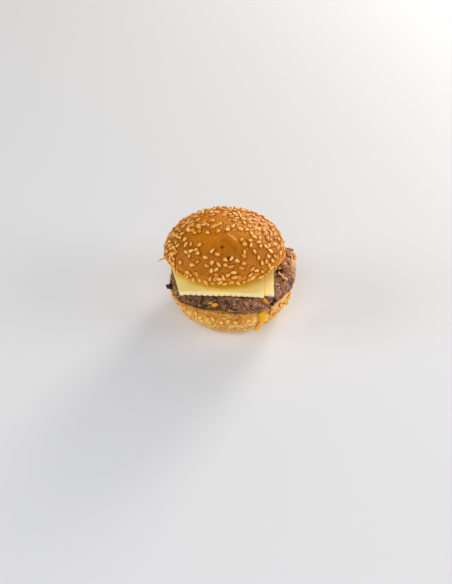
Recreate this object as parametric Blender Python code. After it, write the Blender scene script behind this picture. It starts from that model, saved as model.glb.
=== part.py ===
"""A slider: a small sesame bun filled with a beef patty and two slices of cheese.

Metres, +Z up. The heel's flat base lies on z = 0 around the origin, and -Y is the front, where the
cheese shows. Every size below is written in millimetres times MM.
"""

import math
import random

import bmesh
import bpy
from mathutils import Matrix, Vector, noise

MM = 0.001
GAP = 0.3 * MM  # air between two pieces that rest on each other
SHARP_ANGLE = math.radians(40)  # edges that turn by more than this are shaded sharp

# The lower half of the bun
HEEL_BASE_R = 23.4 * MM
HEEL_WIDE_R = 32.2 * MM
HEEL_WIDE_Z = 11.8 * MM
HEEL_TAPER = 7.2 * MM  # how much smaller it is at its base than at its widest level
HEEL_TAPER_POWER = 1.15
HEEL_CUT_R = 31.5 * MM
HEEL_CUT_Z = 17.4 * MM
HEEL_DISH = 0.4 * MM  # how far the cut face sags in the middle
HEEL_SHOULDER = 0.8 * MM  # bevel round the cut face
HEEL_SIDES = 44
HEEL_SIDE_HEIGHTS = [z * MM for z in (0.8, 2.6, 5.2, 8.4, 11.8, 14.6)]
HEEL_WAVES = ((1, -0.012, 0.0), (2, 0.012, 1.5), (3, 0.005, -1.0))  # count, share of the radius, phase

# The meat
PATTY_CENTRE = Vector((0.8 * MM, 1.9 * MM, 0))
PATTY_R = 33.2 * MM
PATTY_SWELLS = (  # how far the outline stands out, at which angle, over how many degrees
    (4.0 * MM, -140, 20),
    (-1.6 * MM, -104, 13),
    (2.4 * MM, -66, 18),
    (-6.3 * MM, 33, 18),
    (-2.0 * MM, 100, 40),
    (-2.8 * MM, 172, 20),
    (-0.3 * MM, 0, 14),
)
PATTY_BASE_Z = HEEL_CUT_Z + GAP
PATTY_FRONT_TOP = 28.0 * MM  # top of the meat at its front
PATTY_REAR_TOP = 27.0 * MM
PATTY_EDGE = 1.2 * MM  # the cheese starts to sag this far inside the meat's outline
PATTY_FLAT = 0.90  # share of the outline up to which its base and its top are flat
PATTY_EDGE_POWER = 3.2  # roundness of the side between them; 2 is an ellipse
PATTY_SIDES = 80
PATTY_EDGE_STEPS = 8
PATTY_INNER = (0.82, 0.70, 0.40)  # shares of the outline at which its top has further rings
PATTY_GRAINS = ((0.9 * MM, 4.0 * MM), (0.5 * MM, 2.3 * MM))  # height and size of the mince's relief
CRAG_ANGLE = 6  # degrees round the patty, where its edge is broken open
CRAG_SPREAD = 26
CRAG_X = (23.5 * MM, 27.5 * MM)
CRAG_RISE = 1.5 * MM
CRAG_ROUGH = 2.2 * MM
CRAG_SIZE = 3.4 * MM
CHAR_AT = Vector((-31.8 * MM, -14.0 * MM, 22.2 * MM))
CHAR_RADII = (2.5 * MM, 1.8 * MM, 1.5 * MM)
CRISP_AT = Vector((32.4 * MM, 3.6 * MM, 27.6 * MM))
CRISP_RADII = (1.5 * MM, 1.6 * MM, 2.1 * MM)

# The two slices of cheese
SLICE_THICK = 2.0 * MM
SCALLOP = 2.9 * MM  # spacing of the waves that the ridged knife left on the front edge
SCALLOP_DEPTH = 0.45 * MM
SCALLOP_STEPS = 3
SLICE_ROWS = 6
SLICE_GRADING = 1.4  # crowds the rows towards the front edge
DROOP = 14.0  # metres of sag for each square metre of overhang
UPPER_SLICE = (  # front left, front right, rear right, rear left
    Vector((-26.2 * MM, -30.0 * MM)),
    Vector((16.2 * MM, -33.4 * MM)),
    Vector((16.8 * MM, 5.0 * MM)),
    Vector((-32.4 * MM, 1.0 * MM)),
)
LOWER_SLICE = (
    Vector((-21.0 * MM, -28.2 * MM)),
    Vector((21.4 * MM, -29.4 * MM)),
    Vector((21.6 * MM, 9.0 * MM)),
    Vector((-21.6 * MM, 8.6 * MM)),
)
STEP_START_X = -32.0 * MM  # the upper slice comes down off the lower one between these
STEP_END_X = -22.2 * MM

# The upper half of the bun
CROWN_CENTRE = Vector((-3.5 * MM, -0.9 * MM, 33.0 * MM))  # middle of its cut face
CROWN_TILT = math.radians(9.0)  # its front edge is lifted
CROWN_ROLL = math.radians(0.8)  # and its right edge
CROWN_CUT_R = 30.7 * MM
CROWN_WIDE_R = 31.2 * MM
CROWN_WIDE_Z = 1.4 * MM
CROWN_DOME = 20.2 * MM  # height above the widest level
CROWN_FULLNESS = 2.0  # exponent of the dome's curve; 2 is an ellipse
CROWN_SIDES = 44
CROWN_RINGS = 11
CROWN_CUT_SHARES = (0.2, 0.36, 0.52, 0.66, 0.8, 0.92)  # of the radius, for the rings of the cut face
CROWN_RIM_Z = 0.3 * MM  # its lowest ring of crust
CROWN_WAVES = ((2, 0.015, 3.1), (3, 0.014, -1.7), (4, 0.004, -0.7))
DENT_AT = Vector((-2.0 * MM, -20.5 * MM))  # the shallow dent under the fold on the dome's front
DENT_SIZE = Vector((8.0 * MM, 5.5 * MM))
DENT_DEPTH = 0.8 * MM
FOLD_RISE = 0.5 * MM
FOLD_AT = Vector((-0.5 * MM, -14.0 * MM))
FOLD_SIZE = Vector((7.5 * MM, 2.6 * MM))
THICKEN_Y = (-16.0 * MM, -2.0 * MM)  # the seeds lie closer from the first towards the second
FRONT_DENSITY = 0.5
LEAST_DENSITY = 0.02
BARE_AT = Vector((-3.2 * MM, -16.4 * MM))  # where the dome's front has hardly any seeds
BARE_SIZE = Vector((10.5 * MM, 7.2 * MM))
FOLD_CLEAR_AT = Vector((2.2 * MM, -19.5 * MM))  # an oval under the fold with no seeds
FOLD_CLEAR_SIZE = Vector((5.0 * MM, 3.2 * MM))
CROWD_AT = Vector((-8.3 * MM, -28.0 * MM))  # where some are crowded together
CROWD_SIZE = 4.5 * MM
RIM_SEED_SHARE = 0.2  # of the seeds are on the rim, below the widest level
RIM_SEED_Z = 0.7 * MM
PRESS_MARGIN = 5.5 * MM  # the bread is pressed in this far around the slices
PRESS_GAP = 0.4 * MM

# Sesame seeds
SEED_LENGTH = 3.3 * MM
SEED_WIDTH = 1.85 * MM
SEED_HEIGHT = 0.75 * MM  # above the crust
SEED_BRIM = 0.12 * MM  # height of its widest outline above the crust
SEED_ROOT = 0.6 * MM  # below the crust
SEED_OUTLINE = (  # shares of its half length and half width, round from the tip
    (1.0, 0.0),
    (0.3, 0.86),
    (-0.55, 0.94),
    (-1.0, 0.0),
    (-0.55, -0.94),
    (0.3, -0.86),
)
SEED_RIDGE = (0.35, -0.45)  # shares of its half length between which its ridge runs
SEED_SPACING = 2.6 * MM  # from the next seed's middle, at least
CROWN_SEEDS = 166
HEEL_SEEDS = 82
HEEL_SEED_LOW = 2.4 * MM
HEEL_SEED_HIGH = 14.4 * MM
HEEL_THICKEN_Z = (6.0 * MM, HEEL_SEED_HIGH)  # the seeds lie closer below these levels
HEEL_THICKEN_AT = (-115, 70)  # degrees: where they lie closer, and over how much
HEEL_DENSITIES = (0.3, 0.4, 0.3)  # anywhere, added there, and added low down
STRIP_BARE = 12  # degrees to either side of the onion strip without seeds

# The strips of onion
STRIP_ANGLE = -62.0  # degrees round the heel, where it hangs out
STRIP_WIDTH = 3.0 * MM
STRIP_FLARE = 0.8 * MM  # how much wider it is at its top
STRIP_THICK = 1.1 * MM
STRIP_CLEAR = 0.45 * MM  # between its back and the crust
STRIP_LEAN = 0.1 * MM  # how far its lower end lies towards the front
STRIP_BOW = 0.1 * MM
STRIP_STEPS = 12
STRIP_TOP_Z = HEEL_CUT_Z - 0.1 * MM
STRIP_END_Z = 1.5 * MM
STRIP_FREE_Z = 3.2 * MM  # below this it hangs free of the crust
STRIP_SIDES = 8
WISP_THICK = 0.8 * MM
WISP_STEPS = 8
WISP_SIDES = 6
WISP_START = Vector((-29.4 * MM, 4.6 * MM, 27.3 * MM))
WISP_END = Vector((-38.8 * MM, 2.4 * MM, 26.0 * MM))
WISP_ARCH = 0.9 * MM


def clear_scene():
    for obj in list(bpy.data.objects):
        bpy.data.objects.remove(obj, do_unlink=True)


def material(name, colour, roughness):
    made = bpy.data.materials.new(name)
    made.use_nodes = True
    shader = made.node_tree.nodes["Principled BSDF"]
    shader.inputs["Base Color"].default_value = (*colour, 1.0)
    shader.inputs["Roughness"].default_value = roughness
    shader.inputs["Metallic"].default_value = 0.0
    return made


def add_object(name, bm, finish):
    """Links the bmesh as one smooth object whose faces point outwards."""
    bmesh.ops.recalc_face_normals(bm, faces=bm.faces)
    mesh = bpy.data.meshes.new(name)
    bm.to_mesh(mesh)
    bm.free()
    mesh.materials.append(finish)
    mesh.shade_smooth()
    mesh.set_sharp_from_angle(angle=SHARP_ANGLE)
    obj = bpy.data.objects.new(name, mesh)
    bpy.context.scene.collection.objects.link(obj)
    return obj


def smooth_step(value, start, end):
    """0 up to start, 1 from end on, and a smooth rise between."""
    t = min(1.0, max(0.0, (value - start) / (end - start)))
    return t * t * (3 - 2 * t)


def hump(offset, spread):
    """A bell curve of height 1."""
    return math.exp(-((offset / spread) ** 2))


def turn_difference(a, b):
    """Degrees from angle b to angle a, between -180 and 180."""
    return (a - b + 180) % 360 - 180


def waviness(angle, waves):
    """How much larger than round an outline is at this angle, as a factor."""
    return 1 + sum(share * math.cos(count * angle + phase) for count, share, phase in waves)


def bridge_rings(bm, rings, first_pole=None, last_pole=None):
    """Joins rings of points, lowest first, into one skin, closed by a pole at either end."""
    loops = [[bm.verts.new(p) for p in ring] for ring in rings]
    for low, high in zip(loops, loops[1:]):
        for i in range(len(low)):
            j = (i + 1) % len(low)
            bm.faces.new((low[i], low[j], high[j], high[i]))
    for pole, loop in ((first_pole, loops[0]), (last_pole, loops[-1])):
        if pole is None:
            bm.faces.new(loop)
            continue
        middle = bm.verts.new(pole)
        for i in range(len(loop)):
            bm.faces.new((loop[i], loop[(i + 1) % len(loop)], middle))


def fuse(obj, pieces, solver):
    """Boolean union of obj with the pieces, which are then removed."""
    group = bpy.data.collections.new(obj.name + "_pieces")
    bpy.context.scene.collection.children.link(group)
    for piece in pieces:
        bpy.context.scene.collection.objects.unlink(piece)
        group.objects.link(piece)
    join = obj.modifiers.new("join", "BOOLEAN")
    join.operation = "UNION"
    join.operand_type = "COLLECTION"
    join.collection = group
    join.solver = solver
    graph = bpy.context.evaluated_depsgraph_get()
    joined = bpy.data.meshes.new_from_object(obj.evaluated_get(graph))
    joined.set_sharp_from_angle(angle=SHARP_ANGLE)
    obj.modifiers.clear()
    obj.data = joined
    for piece in pieces:
        bpy.data.objects.remove(piece, do_unlink=True)
    bpy.data.collections.remove(group)


def heel_radius(z, angle):
    """The crust's distance from the axis: a power curve below the widest level, a taper above it."""
    if z < HEEL_WIDE_Z:
        share = (HEEL_WIDE_Z - z) / HEEL_WIDE_Z
        radius = HEEL_WIDE_R - HEEL_TAPER * share**HEEL_TAPER_POWER
    else:
        share = (z - HEEL_WIDE_Z) / (HEEL_CUT_Z - HEEL_WIDE_Z)
        radius = HEEL_WIDE_R - (HEEL_WIDE_R - HEEL_CUT_R) * share * share
    return radius * waviness(angle, HEEL_WAVES)


def ring_of(radius_at, z_at, sides):
    """Points round the Z axis, for a radius and a height that depend on the angle."""
    angles = [2 * math.pi * i / sides for i in range(sides)]
    return [Vector((radius_at(a) * math.cos(a), radius_at(a) * math.sin(a), z_at(a))) for a in angles]


def seed_shape(place):
    """One seed: six corners round a pointed oval, a ridge above them and a root under the crust."""
    length = SEED_LENGTH / 2
    width = SEED_WIDTH / 2
    bm = bmesh.new()
    brim = [bm.verts.new((along * length, aside * width, SEED_BRIM)) for along, aside in SEED_OUTLINE]
    tip, blunt = (bm.verts.new((share * length, 0, SEED_HEIGHT)) for share in SEED_RIDGE)
    root = bm.verts.new((0, 0, -SEED_ROOT))
    tops = (tip, tip, blunt, blunt, blunt, tip)
    for i, corner in enumerate(brim):
        after = brim[(i + 1) % len(brim)]
        bm.faces.new((after, corner, root))
        near = tops[i]
        far = tops[(i + 1) % len(brim)]
        bm.faces.new((corner, after, near))
        if near is not far:
            bm.faces.new((after, far, near))
    bm.transform(place)
    return bm


def seed_place(point, normal, turn):
    """Stands a seed on the crust at this point, turned about the normal."""
    upright = normal.to_track_quat("Z", "Y").to_matrix().to_4x4()
    return Matrix.Translation(point) @ upright @ Matrix.Rotation(turn, 4, "Z")


def scatter(count, propose, seed):
    """Draws places, likelier where they are dense, until there are count that keep the spacing."""
    draw = random.Random(seed)
    kept = []
    while len(kept) < count:
        point, normal, density = propose(draw)
        if draw.random() > density:
            continue
        if all((point - other).length > SEED_SPACING for other, _, _ in kept):
            kept.append((point, normal, draw.uniform(0, 2 * math.pi)))
    return kept


def seeds_on(places, finish):
    """One object for each seed."""
    shapes = [seed_shape(seed_place(*place)) for place in places]
    return [add_object(f"seed_{i}", shape, finish) for i, shape in enumerate(shapes)]


def heel_seed_proposal(draw):
    """A random place on the heel's side, likeliest near its base and at the front left."""
    angle = draw.uniform(0, 2 * math.pi)
    z = draw.uniform(HEEL_SEED_LOW, HEEL_SEED_HIGH)
    radius = heel_radius(z, angle)
    slope = (heel_radius(z + MM, angle) - heel_radius(z - MM, angle)) / (2 * MM)
    normal = Vector((math.cos(angle), math.sin(angle), -slope)).normalized()
    degrees = math.degrees(angle)
    front_left = hump(turn_difference(degrees, HEEL_THICKEN_AT[0]), HEEL_THICKEN_AT[1])
    low = 1 - smooth_step(z, *HEEL_THICKEN_Z)
    strip = hump(turn_difference(degrees, STRIP_ANGLE), STRIP_BARE)
    anywhere, more_there, more_low = HEEL_DENSITIES
    density = (anywhere + more_there * front_left + more_low * low) * (1 - strip)
    density = max(LEAST_DENSITY, density)
    return Vector((radius * math.cos(angle), radius * math.sin(angle), z)), normal, density


def build_heel(finish):
    def flat_ring(radius, z):
        return ring_of(lambda a: radius * waviness(a, HEEL_WAVES), lambda a: z, HEEL_SIDES)

    inner = 0.6
    rings = [flat_ring(HEEL_BASE_R, 0)]
    for z in HEEL_SIDE_HEIGHTS + [HEEL_CUT_Z - HEEL_SHOULDER]:
        rings.append(ring_of(lambda a: heel_radius(z, a), lambda a: z, HEEL_SIDES))
    rings.append(flat_ring(HEEL_CUT_R - HEEL_SHOULDER, HEEL_CUT_Z))
    rings.append(flat_ring(HEEL_CUT_R * inner, HEEL_CUT_Z - HEEL_DISH * inner))
    bm = bmesh.new()
    bridge_rings(bm, rings, last_pole=(0, 0, HEEL_CUT_Z - HEEL_DISH))
    heel = add_object("heel", bm, finish)
    fuse(heel, seeds_on(scatter(HEEL_SEEDS, heel_seed_proposal, 11), finish), "MANIFOLD")


def patty_outline(angle):
    """The meat's radius about its own centre: round, with a few swells."""
    degrees = math.degrees(angle)
    swell = sum(size * hump(turn_difference(degrees, at), wide) for size, at, wide in PATTY_SWELLS)
    return PATTY_R + swell


def patty_top(x, y):
    """Height of the meat's flat top, which falls a little towards the rear."""
    share = (y + PATTY_R) / (2 * PATTY_R)
    return PATTY_FRONT_TOP + (PATTY_REAR_TOP - PATTY_FRONT_TOP) * share


def crag(angle, x):
    """1 where the patty is broken open, to the right of the cheese, and 0 elsewhere."""
    return hump(turn_difference(math.degrees(angle), CRAG_ANGLE), CRAG_SPREAD) * smooth_step(x, *CRAG_X)


def patty_point(angle, share, height_share):
    """A point of the meat's skin: share of the outline's radius, and share of the height at that place."""
    radius = patty_outline(angle) * share
    x = PATTY_CENTRE.x + radius * math.cos(angle)
    y = PATTY_CENTRE.y + radius * math.sin(angle)
    broken = crag(angle, x) * height_share
    rough = noise.noise(Vector((x, y, 0)) / CRAG_SIZE)
    top = patty_top(x, y) + broken * (CRAG_RISE + CRAG_ROUGH * rough)
    z = PATTY_BASE_Z + (top - PATTY_BASE_Z) * height_share
    return Vector((x, y, z))


def mince_relief(point):
    """How far the grains of the mince stand out here."""
    return sum(2 * height * noise.noise(point / size) for height, size in PATTY_GRAINS)


def patty_skin():
    """For each ring, shares of the outline and of the height, and how much relief it has.

    Over the side the shares follow the cosine and the sine of the climb, each to the power
    2 / PATTY_EDGE_POWER.
    """
    skin = [(PATTY_FLAT / 2, 0.0, 0.0)]
    for i in range(PATTY_EDGE_STEPS + 1):
        climb = math.pi * (i / PATTY_EDGE_STEPS - 0.5)
        reach = abs(math.cos(climb)) ** (2 / PATTY_EDGE_POWER)
        rise = math.copysign(abs(math.sin(climb)) ** (2 / PATTY_EDGE_POWER), climb)
        skin.append((PATTY_FLAT + (1 - PATTY_FLAT) * reach, (1 + rise) / 2, reach**2))
    return skin + [(share, 1.0, 0.0) for share in PATTY_INNER]


def build_patty(finish):
    rings = []
    for share, height_share, relief in patty_skin():
        ring = []
        for i in range(PATTY_SIDES):
            angle = 2 * math.pi * i / PATTY_SIDES
            outward = Vector((math.cos(angle), math.sin(angle), 0))
            point = patty_point(angle, share, height_share)
            ring.append(point + outward * relief * mince_relief(point))
        rings.append(ring)
    middle = PATTY_CENTRE.xy
    bm = bmesh.new()
    bridge_rings(
        bm,
        rings,
        first_pole=(*middle, PATTY_BASE_Z),
        last_pole=(*middle, patty_top(*middle)),
    )
    patty = add_object("patty", bm, finish)
    lumps = []
    for name, at, radii in (("char", CHAR_AT, CHAR_RADII), ("crisp", CRISP_AT, CRISP_RADII)):
        bm = bmesh.new()
        size = Matrix.Translation(at) @ Matrix.Diagonal((*radii, 1))
        bmesh.ops.create_icosphere(bm, subdivisions=2, radius=1, matrix=size)
        lumps.append(add_object(name, bm, finish))
    fuse(patty, lumps, "EXACT")


def overhang(x, y):
    """How far a place lies outside the part of the meat's top that carries the cheese."""
    offset = Vector((x, y)) - PATTY_CENTRE.xy
    angle = math.atan2(offset.y, offset.x)
    return max(0.0, offset.length - (patty_outline(angle) - PATTY_EDGE))


def lower_slice_base(x, y):
    """The lower slice follows the meat's top, and sags with the square of its overhang."""
    return patty_top(x, y) + GAP - DROOP * overhang(x, y) ** 2


def upper_slice_base(x, y):
    """The upper slice lies on the lower one, and comes down onto the meat past its left edge."""
    step = smooth_step(x, STEP_START_X, STEP_END_X)
    return lower_slice_base(x, y) + (SLICE_THICK + GAP) * step


def across(corners, u, v):
    """A place in the four-cornered outline, u from left to right and v from front to rear."""
    front_left, front_right, rear_right, rear_left = corners
    return front_left.lerp(front_right, u).lerp(rear_left.lerp(rear_right, u), v)


def build_slice(name, corners, base_at, finish):
    """A bent sheet of even thickness, with a scalloped front edge; both faces are split alike."""
    waves = round((corners[1] - corners[0]).length / SCALLOP)
    columns = waves * SCALLOP_STEPS
    bm = bmesh.new()
    grid = {}
    for i in range(columns + 1):
        for j in range(SLICE_ROWS + 1):
            share = (j / SLICE_ROWS) ** SLICE_GRADING
            place = across(corners, i / columns, share)
            if j == 0:
                place.y -= SCALLOP_DEPTH * abs(math.sin(math.pi * i / SCALLOP_STEPS))
            base = base_at(place.x, place.y)
            for layer, z in enumerate((base, base + SLICE_THICK)):
                grid[i, j, layer] = bm.verts.new((place.x, place.y, z))
    for layer in (0, 1):
        for i in range(columns):
            for j in range(SLICE_ROWS):
                corner = [grid[a, b, layer] for a, b in ((i, j), (i + 1, j), (i + 1, j + 1), (i, j + 1))]
                bm.faces.new(corner[:3])
                bm.faces.new((corner[0], corner[2], corner[3]))
    edge = [(i, 0) for i in range(columns)]
    edge += [(columns, j) for j in range(SLICE_ROWS)]
    edge += [(i, SLICE_ROWS) for i in range(columns, 0, -1)]
    edge += [(0, j) for j in range(SLICE_ROWS, 0, -1)]
    for here, there in zip(edge, edge[1:] + edge[:1]):
        bm.faces.new((grid[(*here, 0)], grid[(*there, 0)], grid[(*there, 1)], grid[(*here, 1)]))
    add_object(name, bm, finish)


def crown_frame():
    """From the crown's own frame, with its cut face on z = 0, to the world."""
    turned = Matrix.Rotation(-CROWN_TILT, 4, "X") @ Matrix.Rotation(-CROWN_ROLL, 4, "Y")
    return Matrix.Translation(CROWN_CENTRE) @ turned


def crown_radius(z, angle):
    """The crust's distance from the crown's axis: tucked in below the widest level, full above it."""
    if z < CROWN_WIDE_Z:
        share = 1 - z / CROWN_WIDE_Z
        radius = CROWN_WIDE_R - (CROWN_WIDE_R - CROWN_CUT_R) * share**3
    else:
        share = min(1.0, (z - CROWN_WIDE_Z) / CROWN_DOME)
        radius = CROWN_WIDE_R * (1 - share**CROWN_FULLNESS) ** (1 / CROWN_FULLNESS)
    return radius * waviness(angle, CROWN_WAVES)


def fold_relief(x, y):
    """Height of the fold on the dome's front, less the dent below it."""
    fold = FOLD_RISE * hump(x - FOLD_AT.x, FOLD_SIZE.x) * hump(y - FOLD_AT.y, FOLD_SIZE.y)
    dent = DENT_DEPTH * hump(x - DENT_AT.x, DENT_SIZE.x) * hump(y - DENT_AT.y, DENT_SIZE.y)
    return fold - dent


def dome_point(climb, angle):
    """A point of the dome in the crown's frame, climb from 0 at the widest level to 1 at the top."""
    rise = math.sin(climb * math.pi / 2)
    radius = crown_radius(CROWN_WIDE_Z + CROWN_DOME * rise, angle)
    x = radius * math.cos(angle)
    y = radius * math.sin(angle)
    out = Vector((x / CROWN_WIDE_R**2, y / CROWN_WIDE_R**2, rise / CROWN_DOME)).normalized()
    return Vector((x, y, CROWN_WIDE_Z + CROWN_DOME * rise)) + out * fold_relief(x, y), out


def crown_seed_density(x, y):
    """Seeds lie close over the top and the rear, thinner at the front, and hardly at all round the fold."""
    rear = smooth_step(y, *THICKEN_Y)
    bare = hump(x - BARE_AT.x, BARE_SIZE.x) * hump(y - BARE_AT.y, BARE_SIZE.y)
    crowd = hump(x - CROWD_AT.x, CROWD_SIZE) * hump(y - CROWD_AT.y, CROWD_SIZE)
    density = (FRONT_DENSITY + (1 - FRONT_DENSITY) * rear) * (1 - bare) + crowd
    return min(1.0, max(LEAST_DENSITY, density))


def clear_of_fold(point):
    """Whether a place lies outside the oval under the fold."""
    aside = (point.x - FOLD_CLEAR_AT.x) / FOLD_CLEAR_SIZE.x
    return math.hypot(aside, (point.y - FOLD_CLEAR_AT.y) / FOLD_CLEAR_SIZE.y) > 1


def crown_seed_proposal(draw):
    """A random place on the dome or on the rim, with its normal and its density of seeds."""
    angle = draw.uniform(0, 2 * math.pi)
    if draw.random() < RIM_SEED_SHARE:
        z = draw.uniform(RIM_SEED_Z, CROWN_WIDE_Z)
        radius = crown_radius(z, angle)
        point = Vector((radius * math.cos(angle), radius * math.sin(angle), z))
        normal = Vector((math.cos(angle), math.sin(angle), -0.1)).normalized()
    else:
        point, normal = dome_point(2 / math.pi * math.asin(draw.random()), angle)
    return point, normal, crown_seed_density(point.x, point.y)


def press(point, to_world):
    """Lifts a point of the cut face off the cheese and the meat that push into the soft bread."""
    place = to_world @ point
    support = patty_top(place.x, place.y)
    front_left, _, rear_right, rear_left = UPPER_SLICE
    right = max(rear_right.x, LOWER_SLICE[2].x) + PRESS_MARGIN
    inside_x = rear_left.x - PRESS_MARGIN < place.x < right
    if inside_x and place.y < LOWER_SLICE[3].y + PRESS_MARGIN:
        support = upper_slice_base(max(place.x, STEP_END_X), place.y) + SLICE_THICK
    lift = max(0.0, support + PRESS_GAP - place.z)
    return point + Vector((0, 0, lift))


def build_crown(finish):
    to_world = crown_frame()
    bm = bmesh.new()
    rings = []
    for share in CROWN_CUT_SHARES:
        flat = ring_of(lambda a: share * crown_radius(0, a), lambda a: 0, CROWN_SIDES)
        rings.append([press(p, to_world) for p in flat])
    rings.append(ring_of(lambda a: crown_radius(CROWN_RIM_Z, a), lambda a: CROWN_RIM_Z, CROWN_SIDES))
    angles = [2 * math.pi * i / CROWN_SIDES for i in range(CROWN_SIDES)]
    for step in range(CROWN_RINGS):
        rings.append([dome_point(step / CROWN_RINGS, a)[0] for a in angles])
    top = Vector((0, 0, CROWN_WIDE_Z + CROWN_DOME))
    bridge_rings(bm, rings, first_pole=press(Vector(), to_world), last_pole=top)
    crown = add_object("crown", bm, finish)
    places = [place for place in scatter(CROWN_SEEDS, crown_seed_proposal, 8) if clear_of_fold(place[0])]
    fuse(crown, seeds_on(places, finish), "EXACT")
    crown.matrix_world = to_world


def ribbon(name, spine, sideways, widths, thick, finish, sides):
    """Sweeps an oval along the spine, of a width for each point and an even thickness, with blunt ends."""
    rings = []
    for i, point in enumerate(spine):
        ahead = spine[min(i + 1, len(spine) - 1)] - spine[max(i - 1, 0)]
        across_ribbon = (sideways - sideways.project(ahead)).normalized()
        through = ahead.normalized().cross(across_ribbon)
        ring = []
        for k in range(sides):
            a = 2 * math.pi * (k + 0.5) / sides
            aside = across_ribbon * widths[i] / 2 * math.cos(a)
            ring.append(point + aside + through * thick / 2 * math.sin(a))
        rings.append(ring)
    bm = bmesh.new()
    bridge_rings(bm, rings)
    add_object(name, bm, finish)


def build_strip(finish):
    """Hangs from the heel's rim, follows the crust down and stands off it at its end."""
    angle = math.radians(STRIP_ANGLE)
    out = Vector((math.cos(angle), math.sin(angle), 0))
    side = Vector((-out.y, out.x, 0))
    spine = []
    widths = []
    for i in range(STRIP_STEPS + 1):
        share = i / STRIP_STEPS
        z = STRIP_TOP_Z + (STRIP_END_Z - STRIP_TOP_Z) * share
        radius = heel_radius(max(z, STRIP_FREE_Z), angle) + STRIP_CLEAR + STRIP_THICK / 2
        flare = STRIP_FLARE * (1 - share) ** 3
        drift = STRIP_BOW * math.sin(math.pi * share) - STRIP_LEAN * share
        spine.append(out * radius + side * drift + Vector((0, 0, z)))
        widths.append(STRIP_WIDTH + flare)
    ribbon("onion_strip", spine, side, widths, STRIP_THICK, finish, STRIP_SIDES)


def build_wisp(finish):
    """A thin end of onion that lies on the meat and sticks out under the crown's left edge."""
    spine = []
    for i in range(WISP_STEPS + 1):
        share = i / WISP_STEPS
        point = WISP_START.lerp(WISP_END, share)
        spine.append(point + Vector((0, 0, WISP_ARCH * math.sin(math.pi * share))))
    widths = [WISP_THICK] * len(spine)
    ribbon("onion_wisp", spine, Vector((0, 1, 0)), widths, WISP_THICK, finish, WISP_SIDES)


def main():
    clear_scene()
    cheese = material("cheese", (0.86, 0.68, 0.30), 0.45)
    onion = material("onion", (0.75, 0.42, 0.06), 0.35)
    build_heel(material("pale_crust", (0.72, 0.46, 0.17), 0.7))
    build_patty(material("meat", (0.12, 0.065, 0.045), 0.55))
    build_slice("cheese_lower", LOWER_SLICE, lower_slice_base, cheese)
    build_slice("cheese_upper", UPPER_SLICE, upper_slice_base, cheese)
    build_crown(material("golden_crust", (0.52, 0.22, 0.05), 0.5))
    build_strip(onion)
    build_wisp(onion)


main()
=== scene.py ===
"""The looks of a slider: baked crusts with sesame, coarse mince, sliced cheese and shreds of fried onion.

Lengths are millimetres times MM. -Y is the front. Surfaces are grids of points worked out as whole arrays.
"""

import math
import random

import bpy
import numpy as np
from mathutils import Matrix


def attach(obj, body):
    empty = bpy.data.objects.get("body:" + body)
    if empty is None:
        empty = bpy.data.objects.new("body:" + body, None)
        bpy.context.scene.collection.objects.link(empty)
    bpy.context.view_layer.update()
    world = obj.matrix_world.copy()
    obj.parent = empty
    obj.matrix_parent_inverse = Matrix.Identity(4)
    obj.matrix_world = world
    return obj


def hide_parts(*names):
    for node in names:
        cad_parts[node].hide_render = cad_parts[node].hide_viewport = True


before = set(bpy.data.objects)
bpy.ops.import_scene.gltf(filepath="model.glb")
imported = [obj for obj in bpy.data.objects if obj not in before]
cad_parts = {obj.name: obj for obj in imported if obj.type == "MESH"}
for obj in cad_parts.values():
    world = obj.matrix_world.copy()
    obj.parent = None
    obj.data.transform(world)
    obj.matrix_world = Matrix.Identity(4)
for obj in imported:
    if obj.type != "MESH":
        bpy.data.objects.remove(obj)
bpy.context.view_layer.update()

MM = 0.001
TURN = 2 * math.pi
GAP = 0.3 * MM  # air between two pieces that rest on each other

# The lower half of the bun
HEEL_BASE_R = 23.4 * MM
HEEL_WIDE_R = 32.2 * MM
HEEL_WIDE_Z = 11.8 * MM
HEEL_TAPER = 7.2 * MM  # how much smaller it is at its base than at its widest level
HEEL_TAPER_POWER = 1.15
HEEL_CUT_R = 31.5 * MM
HEEL_CUT_Z = 17.4 * MM
HEEL_DISH = 0.4 * MM  # how far the cut face sags in the middle
HEEL_SHOULDER = 1.3 * MM  # radius of the rounding at its cut face
HEEL_FOOT = 0.8 * MM  # height of the rounding at its base
HEEL_WAVES = ((1, -0.012, 0.0), (2, 0.012, 1.5), (3, 0.005, -1.0))  # count, share of the radius, phase
HEEL_BROWNED = ((0.8, -95, 42), (0.6, -165, 45))  # how much, at which angle, over how many degrees
HEEL_BROWNED_LEAST = 0.2
HEEL_BROWNED_FROM = (0.62, 0.86)  # shares of its height between which the browning sets in
HEEL_TORN_AT = (-100, 38)  # degrees: where the crust is torn off below the cut face, and over how much
HEEL_TORN_Z = (15.2 * MM, 16.6 * MM)  # it sets in between these

# The meat
PATTY_X = 0.8 * MM
PATTY_Y = 1.9 * MM
PATTY_R = 33.2 * MM
PATTY_SWELLS = (  # how far the outline stands out, at which angle, over how many degrees
    (4.0 * MM, -140, 20),
    (-1.6 * MM, -104, 13),
    (2.4 * MM, -66, 18),
    (-6.3 * MM, 33, 18),
    (-2.0 * MM, 100, 40),
    (-2.8 * MM, 172, 20),
    (-0.3 * MM, 0, 14),
)
PATTY_BASE_Z = HEEL_CUT_Z + GAP
PATTY_FRONT_TOP = 28.0 * MM  # top of the meat at its front
PATTY_REAR_TOP = 27.0 * MM
PATTY_EDGE = 1.2 * MM  # the cheese starts to sag this far inside the meat's outline
PATTY_COLUMNS = 640
EDGE_INNER = 0.90  # share of the outline up to which its base and its top are flat
EDGE_POWER = 3.2  # roundness of the side between them; 2 is an ellipse
GRAIN_SIZE = 3.5 * MM
GRAIN_HEIGHT = 0.75 * MM
FINE_GRAIN_SIZE = 1.3 * MM
FINE_GRAIN_HEIGHT = 0.28 * MM
CRACK_DEPTH = 0.35 * MM
PIT_DEPTH = 0.55 * MM
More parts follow.
